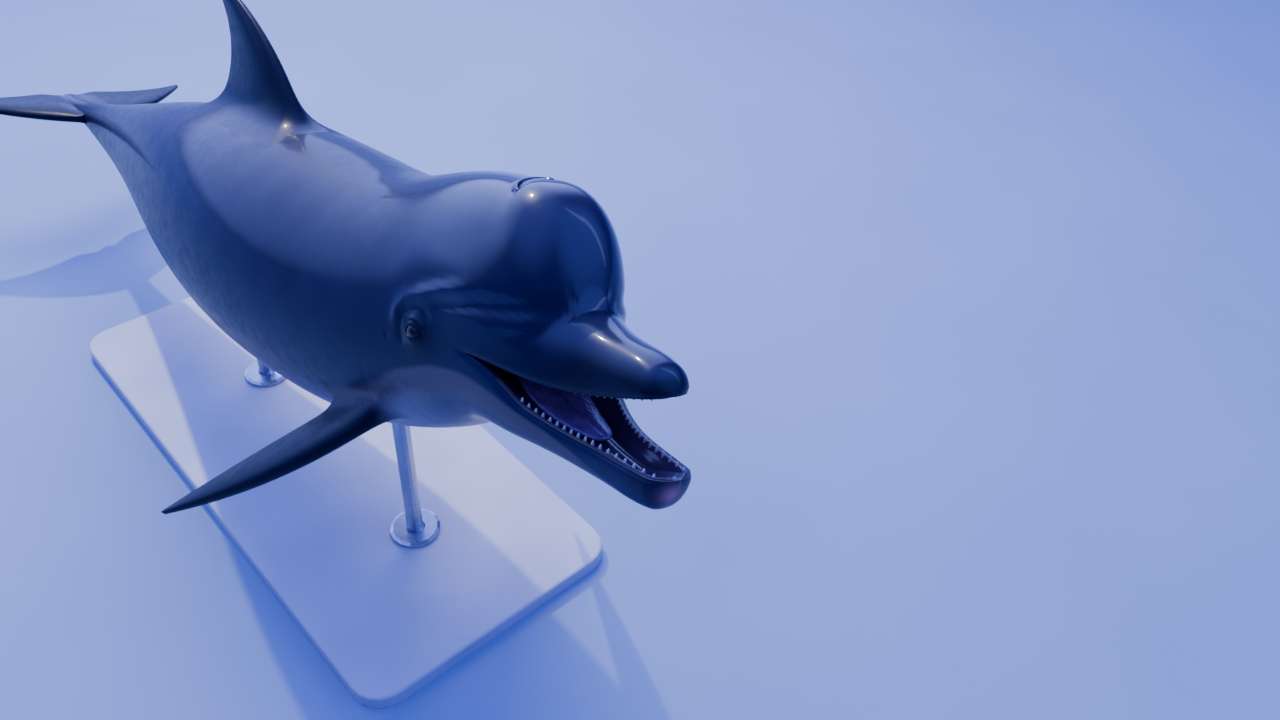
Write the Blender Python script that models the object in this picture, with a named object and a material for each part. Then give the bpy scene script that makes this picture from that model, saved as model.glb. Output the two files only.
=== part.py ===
"""A life-size bottlenose dolphin, mouth open and head raised, held by two rods on a flat display base.

The animal is first described straight, in body coordinates: s runs back from the tip of the upper jaw,
y to the dolphin's left and z up, in metres. Its open jaw is then turned about the hinge, and the whole
shape is bent along a spine that carries the pitch and roll of the pose. World axes: +X ahead, +Z up,
origin at the middle of the base's underside.
"""

import math

import bmesh
import bpy
import numpy as np
from mathutils import Matrix, Vector

# ---- driving sizes, in metres and degrees ------------------------------------------------------------

GAP = 0.0003  # between two pieces that meet

# s, top, bottom, half width of the body without its melon
BODY = np.array([
    (0.000, 0.012, -0.053, 0.0285),
    (0.030, 0.025, -0.065, 0.0345),
    (0.070, 0.034, -0.072, 0.0400),
    (0.110, 0.042, -0.077, 0.0470),
    (0.160, 0.060, -0.082, 0.0610),
    (0.220, 0.092, -0.092, 0.0820),
    (0.280, 0.132, -0.105, 0.1010),
    (0.340, 0.163, -0.118, 0.1160),
    (0.450, 0.186, -0.150, 0.1400),
    (0.560, 0.188, -0.184, 0.1620),
    (0.700, 0.185, -0.220, 0.1820),
    (0.900, 0.183, -0.250, 0.1960),
    (1.100, 0.176, -0.256, 0.1930),
    (1.300, 0.154, -0.238, 0.1710),
    (1.500, 0.120, -0.204, 0.1350),
    (1.700, 0.083, -0.165, 0.0960),
    (1.900, 0.051, -0.126, 0.0610),
    (2.050, 0.030, -0.098, 0.0385),
    (2.170, 0.011, -0.076, 0.0260),
    (2.270, -0.010, -0.055, 0.0230),
    (2.350, -0.026, -0.042, 0.0200),
    (2.400, -0.031, -0.036, 0.0150),
])
BODY_END = 2.376
TIP_ROUND = 0.020  # length over which the jaws' tips round off
TAIL_ROUND = 0.024
TIP_HEIGHT = -0.015

# the line of the lips, and behind the corner the middle of the side
LIP = np.array([
    (0.000, -0.013),
    (0.060, -0.022),
    (0.120, -0.028),
    (0.180, -0.026),
    (0.235, -0.016),
    (0.293, -0.005),
    (0.360, -0.002),
    (0.500, -0.012),
    (0.700, -0.022),
    (1.000, -0.038),
    (1.400, -0.050),
    (1.900, -0.040),
    (2.400, -0.033),
])
CORNER = 0.293  # where the mouth ends, on the cheek
LIP_ROLL = 0.0030
CHIN_AHEAD = 0.018  # the lower jaw reaches this far past the upper one
THROAT_END = 0.343

MELON_S, MELON_Z = 0.272, 0.054
MELON_FRONT, MELON_REAR = 0.112, 0.330
MELON_UP, MELON_DOWN, MELON_WIDE = 0.152, 0.070, 0.088
MELON_POWER = 2.40
CREASE_DEEP = 0.0035

EYE_S, EYE_Z = 0.384, 0.010
EYE_RADIUS, EYE_SUNK = 0.0165, 0.0125
BLOWHOLE_S, BLOWHOLE_Y = 0.260, -0.018
BLOWHOLE_RADIUS, BLOWHOLE_SLOT, BLOWHOLE_DEEP = 0.022, 0.0050, 0.010

JAW_OPEN = 14.2
HINGE_S, HINGE_Z = 0.350, -0.026

TEETH = 18  # in each half of each jaw
TOOTH_RADIUS, TOOTH_ROOT = 0.0034, 0.0040
UPPER_TALL, LOWER_TALL = 0.0050, 0.0080
TEETH_FROM, TEETH_TO = 0.010, 0.215

TONGUE_FROM, TONGUE_TO = 0.118, 0.322
TONGUE_LIFT = 0.006  # how much its tip is raised

# pose: pitch nose up, roll, negative with the right side raised, and yaw, negative to the right
HEAD_PITCH, TRUNK_PITCH, TAIL_PITCH, FLUKE_PITCH = 24.0, 8.5, 14.0, 2.0
HEAD_ROLL, TRUNK_ROLL = -16.0, -13.0
HEAD_YAW = -4.0
ROLL_AXIS = -0.035
MID_S, MID_HEIGHT = 1.12, 0.600  # the spine passes over the base's middle at this height

BASE_SIZE = (1.30, 0.56, 0.030)
ROD_RADIUS, FLANGE_RADIUS, FLANGE_THICK = 0.016, 0.050, 0.010
ROD_STATIONS = {"stand_rod_front": 0.80, "stand_rod_rear": 1.42}
ROD_INTO_BELLY = 0.012

# mesh fineness: segments from back to lip, lip to belly and across the mouth
UPPER, LOWER, ACROSS = 8, 6, 6
AROUND = 2 * (UPPER + LOWER)
FLIPPER_INDEX = UPPER + 3  # outline point at the middle of a flipper's root
# (from s, to s, number of steps)
RING_PLAN = [
    (0.0008, 0.006, 1),
    (0.006, 0.030, 2),
    (0.030, 0.104, 3),
    (0.104, 0.128, 4),
    (0.128, 0.293, 7),
    (0.293, 0.500, 7),
    (0.500, 0.650, 6),
    (0.650, 1.030, 6),
    (1.030, 1.370, 8),
    (1.370, 2.000, 9),
    (2.000, 2.190, 3),
    (2.190, 2.360, 7),
    (2.360, 2.372, 1),
    (2.372, BODY_END - 0.001, 1),
]


# ---- curves ------------------------------------------------------------------------------------------

def spline(points, column, s):
    """Natural cubic spline through one column of a station table."""
    x, y = points[:, 0], points[:, column]
    n, h = len(x), np.diff(x)
    rows = np.eye(n)
    right = np.zeros(n)
    for i in range(1, n - 1):
        rows[i, i - 1:i + 2] = h[i - 1], 2 * (h[i - 1] + h[i]), h[i]
        right[i] = 6 * ((y[i + 1] - y[i]) / h[i] - (y[i] - y[i - 1]) / h[i - 1])
    bend = np.linalg.solve(rows, right)
    s = np.clip(s, x[0], x[-1])
    i = np.clip(np.searchsorted(x, s) - 1, 0, n - 2)
    a, b = (x[i + 1] - s) / h[i], (s - x[i]) / h[i]
    return a * y[i] + b * y[i + 1] + ((a**3 - a) * bend[i] + (b**3 - b) * bend[i + 1]) * h[i] ** 2 / 6


def ease(value, start, end):
    """0 before start, 1 after end, smooth between."""
    t = np.clip((np.asarray(value, float) - start) / (end - start), 0, 1)
    return t * t * (3 - 2 * t)


def rounded(distance, length):
    """1 away from an end, falling to 0 at it as a quarter circle does."""
    t = np.clip(1 - distance / length, 0, 1)
    return np.sqrt(np.clip(1 - t * t, 1e-9, 1))


# ---- the body's surface ------------------------------------------------------------------------------

def lip_height(s):
    return spline(LIP, 1, s)


def section(s):
    """Top, bottom, half width and middle height of the body at s, rounded off at both ends."""
    ends = rounded(s, TIP_ROUND) * rounded(BODY_END - s, TAIL_ROUND)
    middle = lip_height(s)
    top = middle + (spline(BODY, 1, s) - middle) * ends
    bottom = middle + (spline(BODY, 2, s) - middle) * ends
    return top, bottom, spline(BODY, 3, s) * ends, middle


def body_field(s, y, z):
    """Below 0 inside the body without its melon, roughly in metres."""
    top, bottom, wide, middle = section(s)
    tall = np.where(z > middle, top - middle, middle - bottom)
    power = 2.0 + 0.35 * (1 - ease(s, 0.10, 0.60))
    size = ((np.abs(y) / wide) ** power + (np.abs(z - middle) / tall) ** power) ** (1 / power)
    return (size - 1) * np.minimum(wide, tall)


def melon_field(s, y, z):
    long = np.where(s < MELON_S, MELON_FRONT, MELON_REAR)
    tall = np.where(z > MELON_Z, MELON_UP, MELON_DOWN)
    p = MELON_POWER
    size = (
        (np.abs(s - MELON_S) / long) ** p + (np.abs(y) / MELON_WIDE) ** p + (np.abs(z - MELON_Z) / tall) ** p
    ) ** (1 / p)
    return (size - 1) * 0.10


def skin_field(s, y, z):
    """The whole outer surface: body and melon run together, with the crease at the root of the beak."""
    body, melon = body_field(s, y, z), melon_field(s, y, z)
    blend = 0.010 + 0.045 * ease(s, 0.13, 0.30)
    apart = np.clip(0.5 + (melon - body) / (2 * blend), 0, 1)
    joined = melon + (body - melon) * apart - blend * apart * (1 - apart)
    crease = CREASE_DEEP * (1 - ease(s, 0.14, 0.27)) * np.exp(-((body - melon) / 0.006) ** 2)
    brow = 0.005 * np.exp(-((s - EYE_S) ** 2 + (z - EYE_Z - 0.006) ** 2) / 0.030**2)
    lips = LIP_ROLL * (1 - ease(s, CORNER - 0.02, CORNER + 0.02))
    lips = lips * np.exp(-((z - lip_height(s)) / 0.0045) ** 2)
    return joined + crease - brow + lips


def outward(s, direction_y, direction_z, height):
    """Distance from (0, height) to the skin along a direction, at each s."""
    near, far = np.zeros_like(s), np.full_like(s, 0.40)
    for _ in range(34):
        half = (near + far) / 2
        inside = skin_field(s, half * direction_y, height + half * direction_z) < 0
        near, far = np.where(inside, half, near), np.where(inside, far, half)
    return near


def side_of(s, z):
    """Half width of the skin at height z."""
    s = np.full(1, float(s))
    near, far = np.zeros(1), np.full(1, 0.40)
    for _ in range(34):
        half = (near + far) / 2
        inside = skin_field(s, half, np.full(1, float(z))) < 0
        near, far = np.where(inside, half, near), np.where(inside, far, half)
    return float(near[0])


def half_outline(s):
    """Points (y, z) down one side at s: UPPER + 1 from the back to the lip, then LOWER more to the belly."""
    dense = 160
    angle = np.concatenate([np.linspace(0, math.pi / 2, dense), np.linspace(math.pi / 2, math.pi, dense)[1:]])
    y_way, z_way = np.sin(angle), np.cos(angle)
    height = float(lip_height(s))
    reach = outward(np.full_like(angle, s), y_way, z_way, height)
    y, z = reach * y_way, height + reach * z_way
    length = np.concatenate([[0], np.cumsum(np.hypot(np.diff(y), np.diff(z)))])
    lip = length[dense - 1]
    wanted = np.concatenate([np.linspace(0, lip, UPPER + 1), np.linspace(lip, length[-1], LOWER + 1)[1:]])
    return np.interp(wanted, length, y), np.interp(wanted, length, z)


# ---- jaw and pose ------------------------------------------------------------------------------------

def open_jaw(points, share):
    """Turns points about the hinge by their share of the jaw's opening."""
    turn = math.radians(JAW_OPEN) * share
    ahead, up = HINGE_S - points[:, 0], points[:, 2] - HINGE_Z
    moved = points.copy()
    moved[:, 0] = HINGE_S - (np.cos(turn) * ahead + np.sin(turn) * up)
    moved[:, 2] = HINGE_Z + np.cos(turn) * up - np.sin(turn) * ahead
    return moved


def jaw_share(s, depth):
    """How much of the opening a point takes: depth is 0 at the lip and 1 under the throat."""
    start, end = 0.195 + 0.045 * depth, CORNER + 0.005 + 0.17 * depth
    return 1 - ease(s, start, end)


def spine_pitch(s):
    pitch = HEAD_PITCH + (TRUNK_PITCH - HEAD_PITCH) * ease(s, 0.40, 0.90)
    pitch = pitch + (TAIL_PITCH - TRUNK_PITCH) * ease(s, 1.20, 1.90)
    return np.radians(pitch + (FLUKE_PITCH - TAIL_PITCH) * ease(s, 1.95, 2.35))


SPINE_S = np.linspace(-0.10, 2.60, 1081)


def spine_yaw(s):
    return np.radians(HEAD_YAW * (1 - ease(s, 0.40, 0.95)))


def spine():
    """Places of the posed spine at each of SPINE_S."""
    step, pitch, yaw = SPINE_S[1] - SPINE_S[0], spine_pitch(SPINE_S), spine_yaw(SPINE_S)
    ahead = np.stack([np.cos(pitch) * np.cos(yaw), np.cos(pitch) * np.sin(yaw), np.sin(pitch)], axis=1)
    places = -np.cumsum(ahead, axis=0) * step
    middle = [np.interp(MID_S, SPINE_S, places[:, k]) for k in range(3)]
    return places - middle + np.array([0, 0, MID_HEIGHT])


SPINE = spine()


def posed(points):
    """World places of an array of body points (s, y, z)."""
    points = np.asarray(points, float)
    s, y, z = points.T
    pitch, yaw = spine_pitch(s), spine_yaw(s)
    roll = np.radians(HEAD_ROLL + (TRUNK_ROLL - HEAD_ROLL) * ease(s, 0.42, 1.00))
    up = z - ROLL_AXIS
    y, z = y * np.cos(roll) - up * np.sin(roll), ROLL_AXIS + y * np.sin(roll) + up * np.cos(roll)
    x = -z * np.sin(pitch)
    return np.stack([
        np.interp(s, SPINE_S, SPINE[:, 0]) + x * np.cos(yaw) - y * np.sin(yaw),
        np.interp(s, SPINE_S, SPINE[:, 1]) + x * np.sin(yaw) + y * np.cos(yaw),
        np.interp(s, SPINE_S, SPINE[:, 2]) + z * np.cos(pitch),
    ], axis=1)


def frame_at(s, y=0.0, z=0.0, jaw=0.0):
    """Matrix of the posed body at a point, its axes ahead, left and up."""
    step = 0.001
    spots = np.array([(s, y, z), (s - step, y, z), (s, y + step, z)])
    here, ahead, left = (Vector(p) for p in posed(open_jaw(spots, jaw)))
    x_axis = (ahead - here).normalized()
    z_axis = x_axis.cross(left - here).normalized()
    matrix = Matrix((x_axis, z_axis.cross(x_axis), z_axis)).transposed().to_4x4()
    matrix.translation = here
    return matrix


# ---- the whole skin as one closed mesh ---------------------------------------------------------------

class Shell:
    """Vertices and faces of the skin, gathered in body coordinates."""

    def __init__(self):
        self.points, self.faces = [], []

    def add(self, points):
        first = len(self.points)
        self.points.extend(map(tuple, points))
        return list(range(first, len(self.points)))

    def strip(self, row, following, closed=False):
        """Quads between two rows of vertices of the same length."""
        count = len(row)
        for k in range(count if closed else count - 1):
            after = (k + 1) % count
            self.faces.append((row[k], row[after], following[after], following[k]))

    def fan(self, loop, centre):
        """Triangles from a closed loop to one point."""
        middle = self.add([centre])[0]
        for k, corner in enumerate(loop):
            self.faces.append((corner, loop[(k + 1) % len(loop)], middle))


def ring_stations():
    stations = [RING_PLAN[0][0]]
    for start, end, steps in RING_PLAN:
        stations.extend(np.linspace(start, end, steps + 1)[1:])
    return np.array(stations)


def across_mouth(half_width):
    return half_width * np.cos(np.linspace(0, math.pi, ACROSS + 1))


def palate(s, half_width, roof):
    """Points across the roof of the mouth from left lip to right lip."""
    y = across_mouth(half_width)
    inside = ease(half_width - np.abs(y), 0.004, 0.45 * half_width + 0.006)
    return np.stack([np.full_like(y, s), y, lip_height(s) + roof * inside], axis=1)


def roof_height(s):
    return 0.011 * ease(s, 0.0, 0.06)


def floor_depth(s):
    return 0.020 * ease(s, 0.0, 0.07)


def lower_ahead(s):
    """How far the lower jaw's points stand ahead of their station."""
    return CHIN_AHEAD * (1 - ease(s, 0.0, 0.11))


def lower_points(s, y, z):
    """Lower half of a ring, its chin set forward and its jaw turned open."""
    points = np.stack([np.full_like(y, s) - lower_ahead(s), y, z], axis=1)
    bottom = section(np.array(s))[1]
    middle = lip_height(s)
    depth = np.clip((middle - z) / (middle - bottom), 0, 1)
    return open_jaw(points, jaw_share(s, depth))


def floor_points(s, half_width, depth):
    points = palate(s, half_width, -depth)
    points[:, 0] -= lower_ahead(s)
    if half_width > 0:
        middle = 1 - (points[:, 1] / half_width) ** 2
    return open_jaw(points, jaw_share(s, 0.45 * middle))


def build_shell():
    """The skin from beak to tail with its mouth. Returns the shell and its rings of vertex numbers."""
    shell = Shell()
    stations = ring_stations()
    corner = int(np.argmin(np.abs(stations - CORNER)))
    rings, lower_lips, roofs, floors = [], [], [], []
    for i, s in enumerate(stations):
        y, z = half_outline(s)
        around_y = np.concatenate([y, -y[-2:0:-1]])
        around_z = np.concatenate([z, z[-2:0:-1]])
        points = np.stack([np.full(AROUND, s), around_y, around_z], axis=1)
        low = slice(UPPER + 1, AROUND - UPPER)
        points[low] = lower_points(s, around_y[low], around_z[low])
        rings.append(shell.add(points))
        if i < corner:
            lips = lower_points(s, np.array([y[UPPER], -y[UPPER]]), np.array([z[UPPER], z[UPPER]]))
            lower_lips.append(shell.add(lips))
        if i <= corner:
            left, right = rings[i][UPPER], rings[i][AROUND - UPPER]
            low_left, low_right = lower_lips[i] if i < corner else (left, right)
            roof = shell.add(palate(s, y[UPPER], roof_height(s))[1:-1])
            floor = shell.add(floor_points(s, y[UPPER], floor_depth(s))[1:-1])
            roofs.append([left, *roof, right])
            floors.append([low_left, *floor, low_right])
    for i in range(len(rings) - 1):
        for v in range(AROUND):
            after = (v + 1) % AROUND
            is_low = UPPER <= v < AROUND - UPPER
            corners = [(i, v), (i + 1, v), (i + 1, after), (i, after)]
            shell.faces.append(tuple(
                lower_lips[k][0 if w == UPPER else 1]
                if is_low and k < corner and w in (UPPER, AROUND - UPPER) else rings[k][w]
                for k, w in corners
            ))
    for i in range(corner):
        shell.strip(roofs[i], roofs[i + 1])
        shell.strip(floors[i + 1], floors[i])
    close_throat(shell, roofs[corner], floors[corner])
    upper_loop = rings[0][AROUND - UPPER:] + rings[0][:UPPER + 1] + roofs[0][1:-1]
    lower_loop = [lower_lips[0][0]] + rings[0][UPPER + 1:AROUND - UPPER] + [lower_lips[0][1]]
    lower_loop += floors[0][-2:0:-1]
    shell.fan(upper_loop, (0.0, 0.0, TIP_HEIGHT + 0.001))
    chin = np.array([(-CHIN_AHEAD - 0.0004, 0.0, TIP_HEIGHT - 0.001)])
    shell.fan(lower_loop, open_jaw(chin, 1.0)[0])
    shell.fan(rings[-1][::-1], (BODY_END, 0.0, float(lip_height(BODY_END))))
    return shell, rings, stations


def close_throat(shell, roof, floor):
    """The pocket behind the corners of the mouth, narrowing to the throat."""
    previous = roof[:-1] + floor[:0:-1]
    first = np.array([shell.points[v] for v in previous])
    centre = first.mean(axis=0)
    for share in (0.35, 0.70, 1.0):
        points = centre + (first - centre) * (1 - 0.62 * share)
        points[:, 0] += (THROAT_END - CORNER) * share
        row = shell.add(points)
        shell.strip(previous, row, closed=True)
        previous = row
    shell.fan(previous, tuple(points.mean(axis=0) + (0.004, 0, 0)))


# ---- fins --------------------------------------------------------------------------------------------

def foil(chord_share):
    """Half thickness of a fin's section, 1 at its thickest and blunt at the trailing edge."""
    u = chord_share
    shape = 2.969 * np.sqrt(u) - 1.26 * u - 3.516 * u**2 + 2.843 * u**3 - 0.975 * u**4
    return shape + 0.05 * u


def patch_loop(rings, first, last, low, high):
    """Vertex numbers round a patch of the rings, from the middle of its front edge towards high."""
    middle = (low + high) // 2
    places = [(first, v) for v in range(middle, high + 1)]
    places += [(i, high) for i in range(first + 1, last + 1)]
    places += [(last, v) for v in range(high - 1, low - 1, -1)]
    places += [(i, low) for i in range(last - 1, first - 1, -1)]
    places += [(first, v) for v in range(low + 1, middle)]
    return [rings[i][v % AROUND] for i, v in places]


def grow_fin(shell, rings, first, last, low, high, place, heights, root):
    """Replaces a patch of the body by a fin. place(height, chord share, side) gives a body point."""
    inside = {rings[i][v % AROUND] for i in range(first, last + 1) for v in range(low, high + 1)}
    shell.faces = [f for f in shell.faces if not inside.issuperset(f)]
    loop = patch_loop(rings, first, last, low, high)
    base = np.array([shell.points[v] for v in loop])
    angle = 2 * math.pi * np.arange(len(loop)) / len(loop)
    chord, side = (1 - np.cos(angle)) / 2, np.sign(np.round(np.sin(angle), 9))
    previous = loop
    for height in heights:
        points = place(height, chord, side)
        share = 1 - math.exp(-(height + 0.012) / root)
        row = shell.add(base * (1 - share) + points * share)
        shell.strip(row, previous, closed=True)
        previous = row
    half = len(loop) // 2
    for k in range(half):
        a, b, c, d = k, k + 1, (-k - 1) % len(loop), -k % len(loop)
        corners = [previous[a], previous[b], previous[c], previous[d]]
        shell.faces.append(tuple(dict.fromkeys(corners)))


def dorsal_fin(height, chord, side):
    front = 1.030 + 0.16 * height + 0.150 * height**2.5
    rear = 1.368 - 0.26 * height * (1 - height)
    thick = 0.075 * (rear - front) + 0.002
    s = front + (rear - front) * chord
    z = spline(BODY, 1, np.minimum(s, 1.37)) - 0.001 + 0.235 * height
    return np.stack([s, side * thick * foil(chord), z], axis=1)


def side_point(s, index):
    """Skin point on the left side at s, counted along the outline from the back."""
    y, z = half_outline(s)
    return Vector((s, y[index], z[index]))


def flipper(which):
    """A flipper's place function: which is 1 for the left one, -1 for the right."""
    root, rear_root = (side_point(s, FLIPPER_INDEX) for s in (0.508, 0.642))
    span_way = Vector((0.28, 0.78, -0.60)).normalized()
    chord_way = (rear_root - root).normalized()
    thick_way = chord_way.cross(span_way).normalized()

    def place(height, chord, side):
        front = 0.215 * height**1.9
        rear = 0.138 + 0.092 * height
        thick = 0.085 * (rear - front) + 0.004 - 0.002 * height
        back = front + (rear - front) * chord
        points = np.array(root) + np.outer(back, chord_way) + 0.285 * height * np.array(span_way)
        points = points - np.outer(side * which * thick * foil(chord), thick_way)
        points[:, 2] -= 0.020 * height**2
        points[:, 1] *= which
        return points

    return place


def fluke(which):
    def place(height, chord, side):
        front = 2.180 + 0.10 * height + 0.150 * height**2
        rear = 2.374 + 0.026 * ease(height, 0.0, 0.16) - 0.10 * height * (1 - height) + 0.050 * height**2
        thick = 0.075 * (rear - front) + 0.002
        s = front + (rear - front) * chord
        z = lip_height(np.minimum(s, 2.35)) - side * which * thick * foil(chord) - 0.015 * height**2
        y = np.full_like(s, which * (0.026 + 0.284 * height))
        return np.stack([s, y, z], axis=1)

    return place


FIN_ROWS = (0.0, 0.035, 0.10, 0.22, 0.42, 0.66, 0.88, 1.0)


def index_of(stations, s):
    return int(np.argmin(np.abs(stations - s)))


def add_fins(shell, rings, stations):
    side = {1: UPPER, -1: AROUND - UPPER}
    grow_fin(shell, rings, index_of(stations, 1.03), index_of(stations, 1.37), -2, 2,
             dorsal_fin, FIN_ROWS, 0.05)
    for which in (1, -1):
        first, last = index_of(stations, 0.50), index_of(stations, 0.65)
        middle = FLIPPER_INDEX if which == 1 else AROUND - FLIPPER_INDEX
        grow_fin(shell, rings, first, last, middle - 1, middle + 1, flipper(which), FIN_ROWS, 0.05)
        first, last = index_of(stations, 2.19), index_of(stations, 2.36)
        grow_fin(shell, rings, first, last, side[which] - 2, side[which] + 2, fluke(which), FIN_ROWS, 0.06)


# ---- objects, booleans and materials -----------------------------------------------------------------

def clear_scene():
    for item in list(bpy.data.objects):
        bpy.data.objects.remove(item)


def material(name, colour, roughness, metallic=0.0):
    made = bpy.data.materials.new(name)
    made.use_nodes = True
    surface = made.node_tree.nodes["Principled BSDF"]
    surface.inputs["Base Color"].default_value = (*colour, 1)
    surface.inputs["Roughness"].default_value = roughness
    surface.inputs["Metallic"].default_value = metallic
    return made


def mesh_object(name, points, faces, finish=None):
    mesh = bpy.data.meshes.new(name)
    mesh.from_pydata([tuple(map(float, p)) for p in points], [], faces)
    made = bpy.data.objects.new(name, mesh)
    bpy.context.scene.collection.objects.link(made)
    if finish:
        mesh.materials.append(finish)
    return made


def face_out(item):
    """Turns every face of a closed mesh outwards."""
    work = bmesh.new()
    work.from_mesh(item.data)
    bmesh.ops.recalc_face_normals(work, faces=work.faces)
    if work.calc_volume(signed=True) < 0:
        bmesh.ops.reverse_faces(work, faces=work.faces)
    work.to_mesh(item.data)
    work.free()


def apply_boolean(item, operation, other):
    """Cuts or joins another object, then removes that one."""
    cut = item.modifiers.new("cut", "BOOLEAN")
    cut.operation, cut.solver, cut.object = operation, "EXACT", other
    graph = bpy.context.evaluated_depsgraph_get()
    result = bpy.data.meshes.new_from_object(item.evaluated_get(graph))
    item.modifiers.clear()
    item.data = result
    bpy.data.objects.remove(other)


def parted(item, matrix, size):
    """Cuts an object by a thin box placed by a matrix. Returns its separate bodies as new objects."""
    slab = mesh_object("slab", *box_mesh(size))
    slab.matrix_world = matrix
    bpy.context.view_layer.update()
    apply_boolean(item, "DIFFERENCE", slab)
    parts = [mesh_object("part", points, faces) for points, faces in loose_parts(item)]
    for part in parts:
        face_out(part)
    bpy.data.objects.remove(item)
    return parts


def box_mesh(size):
    half = [x / 2 for x in size]
    points = [(x * half[0], y * half[1], z * half[2]) for x in (-1, 1) for y in (-1, 1) for z in (-1, 1)]
    faces = [(0, 1, 3, 2), (4, 6, 7, 5), (0, 4, 5, 1), (2, 3, 7, 6), (0, 2, 6, 4), (1, 5, 7, 3)]
    return points, faces


def loose_parts(item):
    """The separate bodies of a mesh, each as (points, faces)."""
    mesh = item.data
    owner = list(range(len(mesh.vertices)))

    def find(v):
        while owner[v] != v:
            owner[v] = owner[owner[v]]
            v = owner[v]
        return v

    for edge in mesh.edges:
        a, b = (find(v) for v in edge.vertices)
        owner[a] = b
    groups = {}
    for polygon in mesh.polygons:
        groups.setdefault(find(polygon.vertices[0]), []).append(tuple(polygon.vertices))
    for faces in groups.values():
        used = sorted({v for f in faces for v in f})
        number = {v: k for k, v in enumerate(used)}
        yield [mesh.vertices[v].co.copy() for v in used], [tuple(number[v] for v in f) for f in faces]


def ellipsoid(name, matrix, radii, segments=14, rows=8):
    made = bpy.data.objects.new(name, bpy.data.meshes.new(name))
    bpy.context.scene.collection.objects.link(made)
    work = bmesh.new()
    bmesh.ops.create_uvsphere(work, u_segments=segments, v_segments=rows, radius=1.0)
    bmesh.ops.scale(work, verts=work.verts, vec=radii)
    bmesh.ops.transform(work, verts=work.verts, matrix=matrix)
    work.to_mesh(made.data)
    work.free()
    return made


# ---- pieces ------------------------------------------------------------------------------------------

def eye_matrix(which):
    """The eyeball's centre, its local Y pointing out of the head."""
    side = side_of(EYE_S, EYE_Z)
    return frame_at(EYE_S, which * (side - EYE_SUNK), EYE_Z)


def eyeball(which, grow=0.0):
    radius = EYE_RADIUS + grow
    return ellipsoid("eyeball", eye_matrix(which), (radius, radius, radius * 0.94))


def tongue_mesh(grow=0.0):
    """Closed tongue, lying a little sunk in the floor of the mouth and turned with the jaw."""
    points, faces, rows, round_count = [], [], 8, 12
    for share in (1 - np.cos(np.linspace(0.10, math.pi - 0.10, rows))) / 2:
        s = TONGUE_FROM + (TONGUE_TO - TONGUE_FROM) * share
        room = side_of(min(s, CORNER), float(lip_height(s)))
        ends = math.sin(math.pi * min(max(share, 0.02), 0.985)) ** 0.35
        wide = (0.006 + 0.42 * room * (1 - 0.45 * float(ease(s, 0.25, 0.33)))) * ends + grow
        tall = (0.0075 + 0.003 * share) * ends + grow
        middle = float(lip_height(s)) - floor_depth(s) + 0.0050
        middle += TONGUE_LIFT * (1 - float(ease(share, 0.0, 0.5)))
        angle = 2 * math.pi * np.arange(round_count) / round_count
        row = np.stack([np.full(round_count, s - lower_ahead(s)), wide * np.cos(angle),
                        middle + tall * np.sin(angle)], axis=1)
        points.append(open_jaw(row, jaw_share(s, 0.45)))
    points = np.concatenate(points)
    for i in range(rows - 1):
        for k in range(round_count):
            after = (k + 1) % round_count
            faces.append((i * round_count + k, i * round_count + after,
                          (i + 1) * round_count + after, (i + 1) * round_count + k))
    faces.append(tuple(range(round_count)))
    faces.append(tuple(reversed(range((rows - 1) * round_count, rows * round_count))))
    return posed(points), faces


def tooth_rows(upper):
    """All teeth of one jaw as one mesh of small cones, rooted in the gum."""
    points, faces, sides = [], [], 5
    way, tall = (-1, UPPER_TALL) if upper else (1, LOWER_TALL)
    for which in (1, -1):
        for k in range(TEETH):
            s = TEETH_FROM + (TEETH_TO - TEETH_FROM) * ((k + 0.5) / TEETH) ** 0.92
            room = side_of(s, float(lip_height(s))) - (0.0095 if upper else 0.0080)
            size = 0.75 + 0.25 * math.sin(math.pi * (k + 2) / (TEETH + 3))
            gum = float(lip_height(s)) - way * 0.001
            angle = 2 * math.pi * np.arange(sides) / sides
            foot = np.stack([s + TOOTH_RADIUS * np.cos(angle),
                             which * (room + TOOTH_RADIUS * np.sin(angle)),
                             np.full(sides, gum - way * TOOTH_ROOT)], axis=1)
            tip = np.array([(s, which * room, gum + way * tall * size)])
            cone = np.concatenate([foot, tip])
            if not upper:
                cone[:, 0] -= lower_ahead(s)
                cone = open_jaw(cone, jaw_share(s, 0.0))
            first = sum(map(len, points))
            points.append(cone)
            faces.append(tuple(range(first, first + sides)))
            faces.extend((first + (c + 1) % sides, first + c, first + sides) for c in range(sides))
    made = mesh_object("teeth", posed(np.concatenate(points)), faces)
    face_out(made)
    return made


def blowhole_cutter():
    """A crescent slot as deep at its horns as in its middle, its horns pointing ahead."""
    steps, points, faces = 8, [], []
    centre = BLOWHOLE_S - 0.004
    for k in range(steps + 1):
        angle = math.radians(-78 + 156 * k / steps)
        half = BLOWHOLE_SLOT / 2 * (0.35 + 0.65 * math.cos(math.radians(-75 + 150 * k / steps)))
        ahead, across = math.cos(angle), math.sin(angle)
        top = top_of_head(centre + BLOWHOLE_RADIUS * ahead, BLOWHOLE_Y + BLOWHOLE_RADIUS * across)
        for z in (top + 0.012, top - BLOWHOLE_DEEP):
            for radius in (BLOWHOLE_RADIUS - half, BLOWHOLE_RADIUS + half):
                points.append((centre + radius * ahead, BLOWHOLE_Y + radius * across, z))
    for k in range(steps):
        a, b = 4 * k, 4 * k + 4
        for first, second in ((0, 1), (1, 3), (3, 2), (2, 0)):
            faces.append((a + first, a + second, b + second, b + first))
    faces.append((0, 2, 3, 1))
    last = 4 * steps
    faces.append((last, last + 1, last + 3, last + 2))
    made = mesh_object("blowhole", posed(points), faces)
    face_out(made)
    return made


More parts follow.
